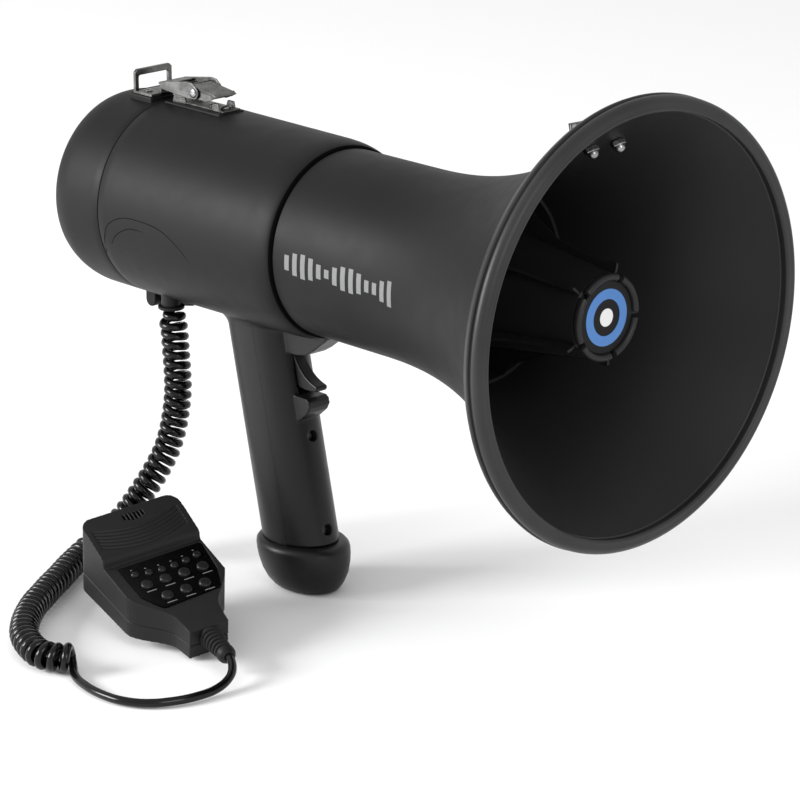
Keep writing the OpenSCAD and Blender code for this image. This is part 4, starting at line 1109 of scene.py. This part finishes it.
def make_relief():
    end = Vector((MIC_END, 0, 11.2))
    turn = Euler((0, math.radians(-8), math.radians(-8)), "XYZ").to_matrix()
    direction = turn @ Vector((1, 0, 0))
    profile = [(0.0, 3.2), (1.1, 3.2), (1.1, 5.6), (1.4, 6.1), (2.0, 6.3)]
    for i in range(6):
        r = 6.25 - i * 0.28
        d = 2.4 + i * 3.2
        profile += [(d, r), (d + 1.3, r), (d + 1.6, r - 0.35), (d + 1.75, r - 1.2), (d + 2.9, r - 1.3),
                    (d + 3.05, r - 0.55)]
    profile += [(21.9, 5.1), (24.2, 4.9), (25.6, 4.3), (26.4, 3.4), (27.0, 2.9), (27.0, 2.32), (23, 2.32)]
    start, stop = in_mic([end, end + direction * 27])
    add_mesh("mic_relief", *turned_stack_data(start, stop, profile, 36), SOFT, replaces=("mic_strain_relief",),
             slot="soft_rubber", smooth_angle=40.0)


def make_talk_button():
    bar = box_data(30.4, 51.6, MIC_HALF - 3.8, MIC_HALF + 2.2, 14.6, 21.6)
    button = add_mesh("talk_bar", *in_mic_data(bar), KEYS, "talk_button_body", replaces=("mic_talk_button",),
                      slot="gloss_black")
    bevelled(button, 1.2, 4)


CLIP = [(8, -0.1), (28, -0.1), (28, -1.5), (11, -1.5), (9.6, -3), (9.6, -8.5), (11.4, -10.2), (24, -12.6), (34, -7),
        (38, -4.2), (39, -5.2), (35, -8.6), (24.4, -14.1), (11, -11.8), (8, -9.4), (7.8, -2)]


def make_clip():
    obj = add_mesh("mic_hanger_clip", *in_mic_data(prism_data(CLIP, -13, 13)), STEEL, replaces=("mic_clip",),
                   slot="grey_steel")
    bevelled(obj, 0.3, 2)
    heads = [rivet(in_mic([(17, v, -1.4)])[0], -(MIC_TURN @ Vector((0, 0, 1))), 2.4, 1.1) for v in (-7, 7)]
    add_mesh("mic_clip_screws", *join_data(*heads), BRIGHT, slot="bright_steel")


def make_gland():
    profile = [(0, 5.4), (0.4, 6.9), (0.9, 7.4), (2.1, 7.4), (2.5, 6.8), (2.7, 5.5), (12, 5.4)]
    add_mesh("gland", *turned_stack_data((-88, -20, 144), (-88, -20, 156), profile, 40), SOFT,
             replaces=("cord_gland",), slot="soft_rubber")


make_mic_front()
make_mic_rear()
make_keys()
make_mic_panel()
make_relief()
make_talk_button()
make_clip()
make_gland()


# ---------------------------------------------------------------- floor and light
def make_stage():
    """A plain white floor in metres, and an even white surround."""
    size, drop = 6.0, -0.0004
    verts = [(-size, -size, drop), (size, -size, drop), (size, size, drop), (-size, size, drop)]
    mesh = bpy.data.meshes.new("floor")
    mesh.from_pydata(verts, [], [(0, 1, 2, 3)])
    floor = bpy.data.objects.new("floor", mesh)
    scene.collection.objects.link(floor)
    mat, tree, shader = node_tree("floor_white")
    set_value(shader, Base_Color=(0.93, 0.93, 0.93, 1.0), Roughness=0.85, Specular_IOR_Level=0.1)
    mesh.materials.append(mat)
    world = bpy.data.worlds.new("world")
    world.use_nodes = True
    background = world.node_tree.nodes["Background"]
    background.inputs["Color"].default_value = (1.0, 1.0, 1.0, 1.0)
    background.inputs["Strength"].default_value = 0.8
    scene.world = world


def area_light(name, location, target, size, power, size_y=None):
    """A soft light in metres and watts."""
    data = bpy.data.lights.new(name, "AREA")
    data.energy = power
    data.size = size
    if size_y:
        data.shape = "RECTANGLE"
        data.size_y = size_y
    light = bpy.data.objects.new(name, data)
    scene.collection.objects.link(light)
    light.location = location
    light.rotation_euler = (Vector(target) - Vector(location)).to_track_quat("-Z", "Y").to_euler()


make_stage()
area_light("key", (-1.25, -2.0, 0.95), (0.0, 0.0, 0.18), 1.2, 85.0, 0.9)
area_light("fill", (2.3, -0.5, 1.1), (0.15, 0.0, 0.2), 1.0, 16.0)
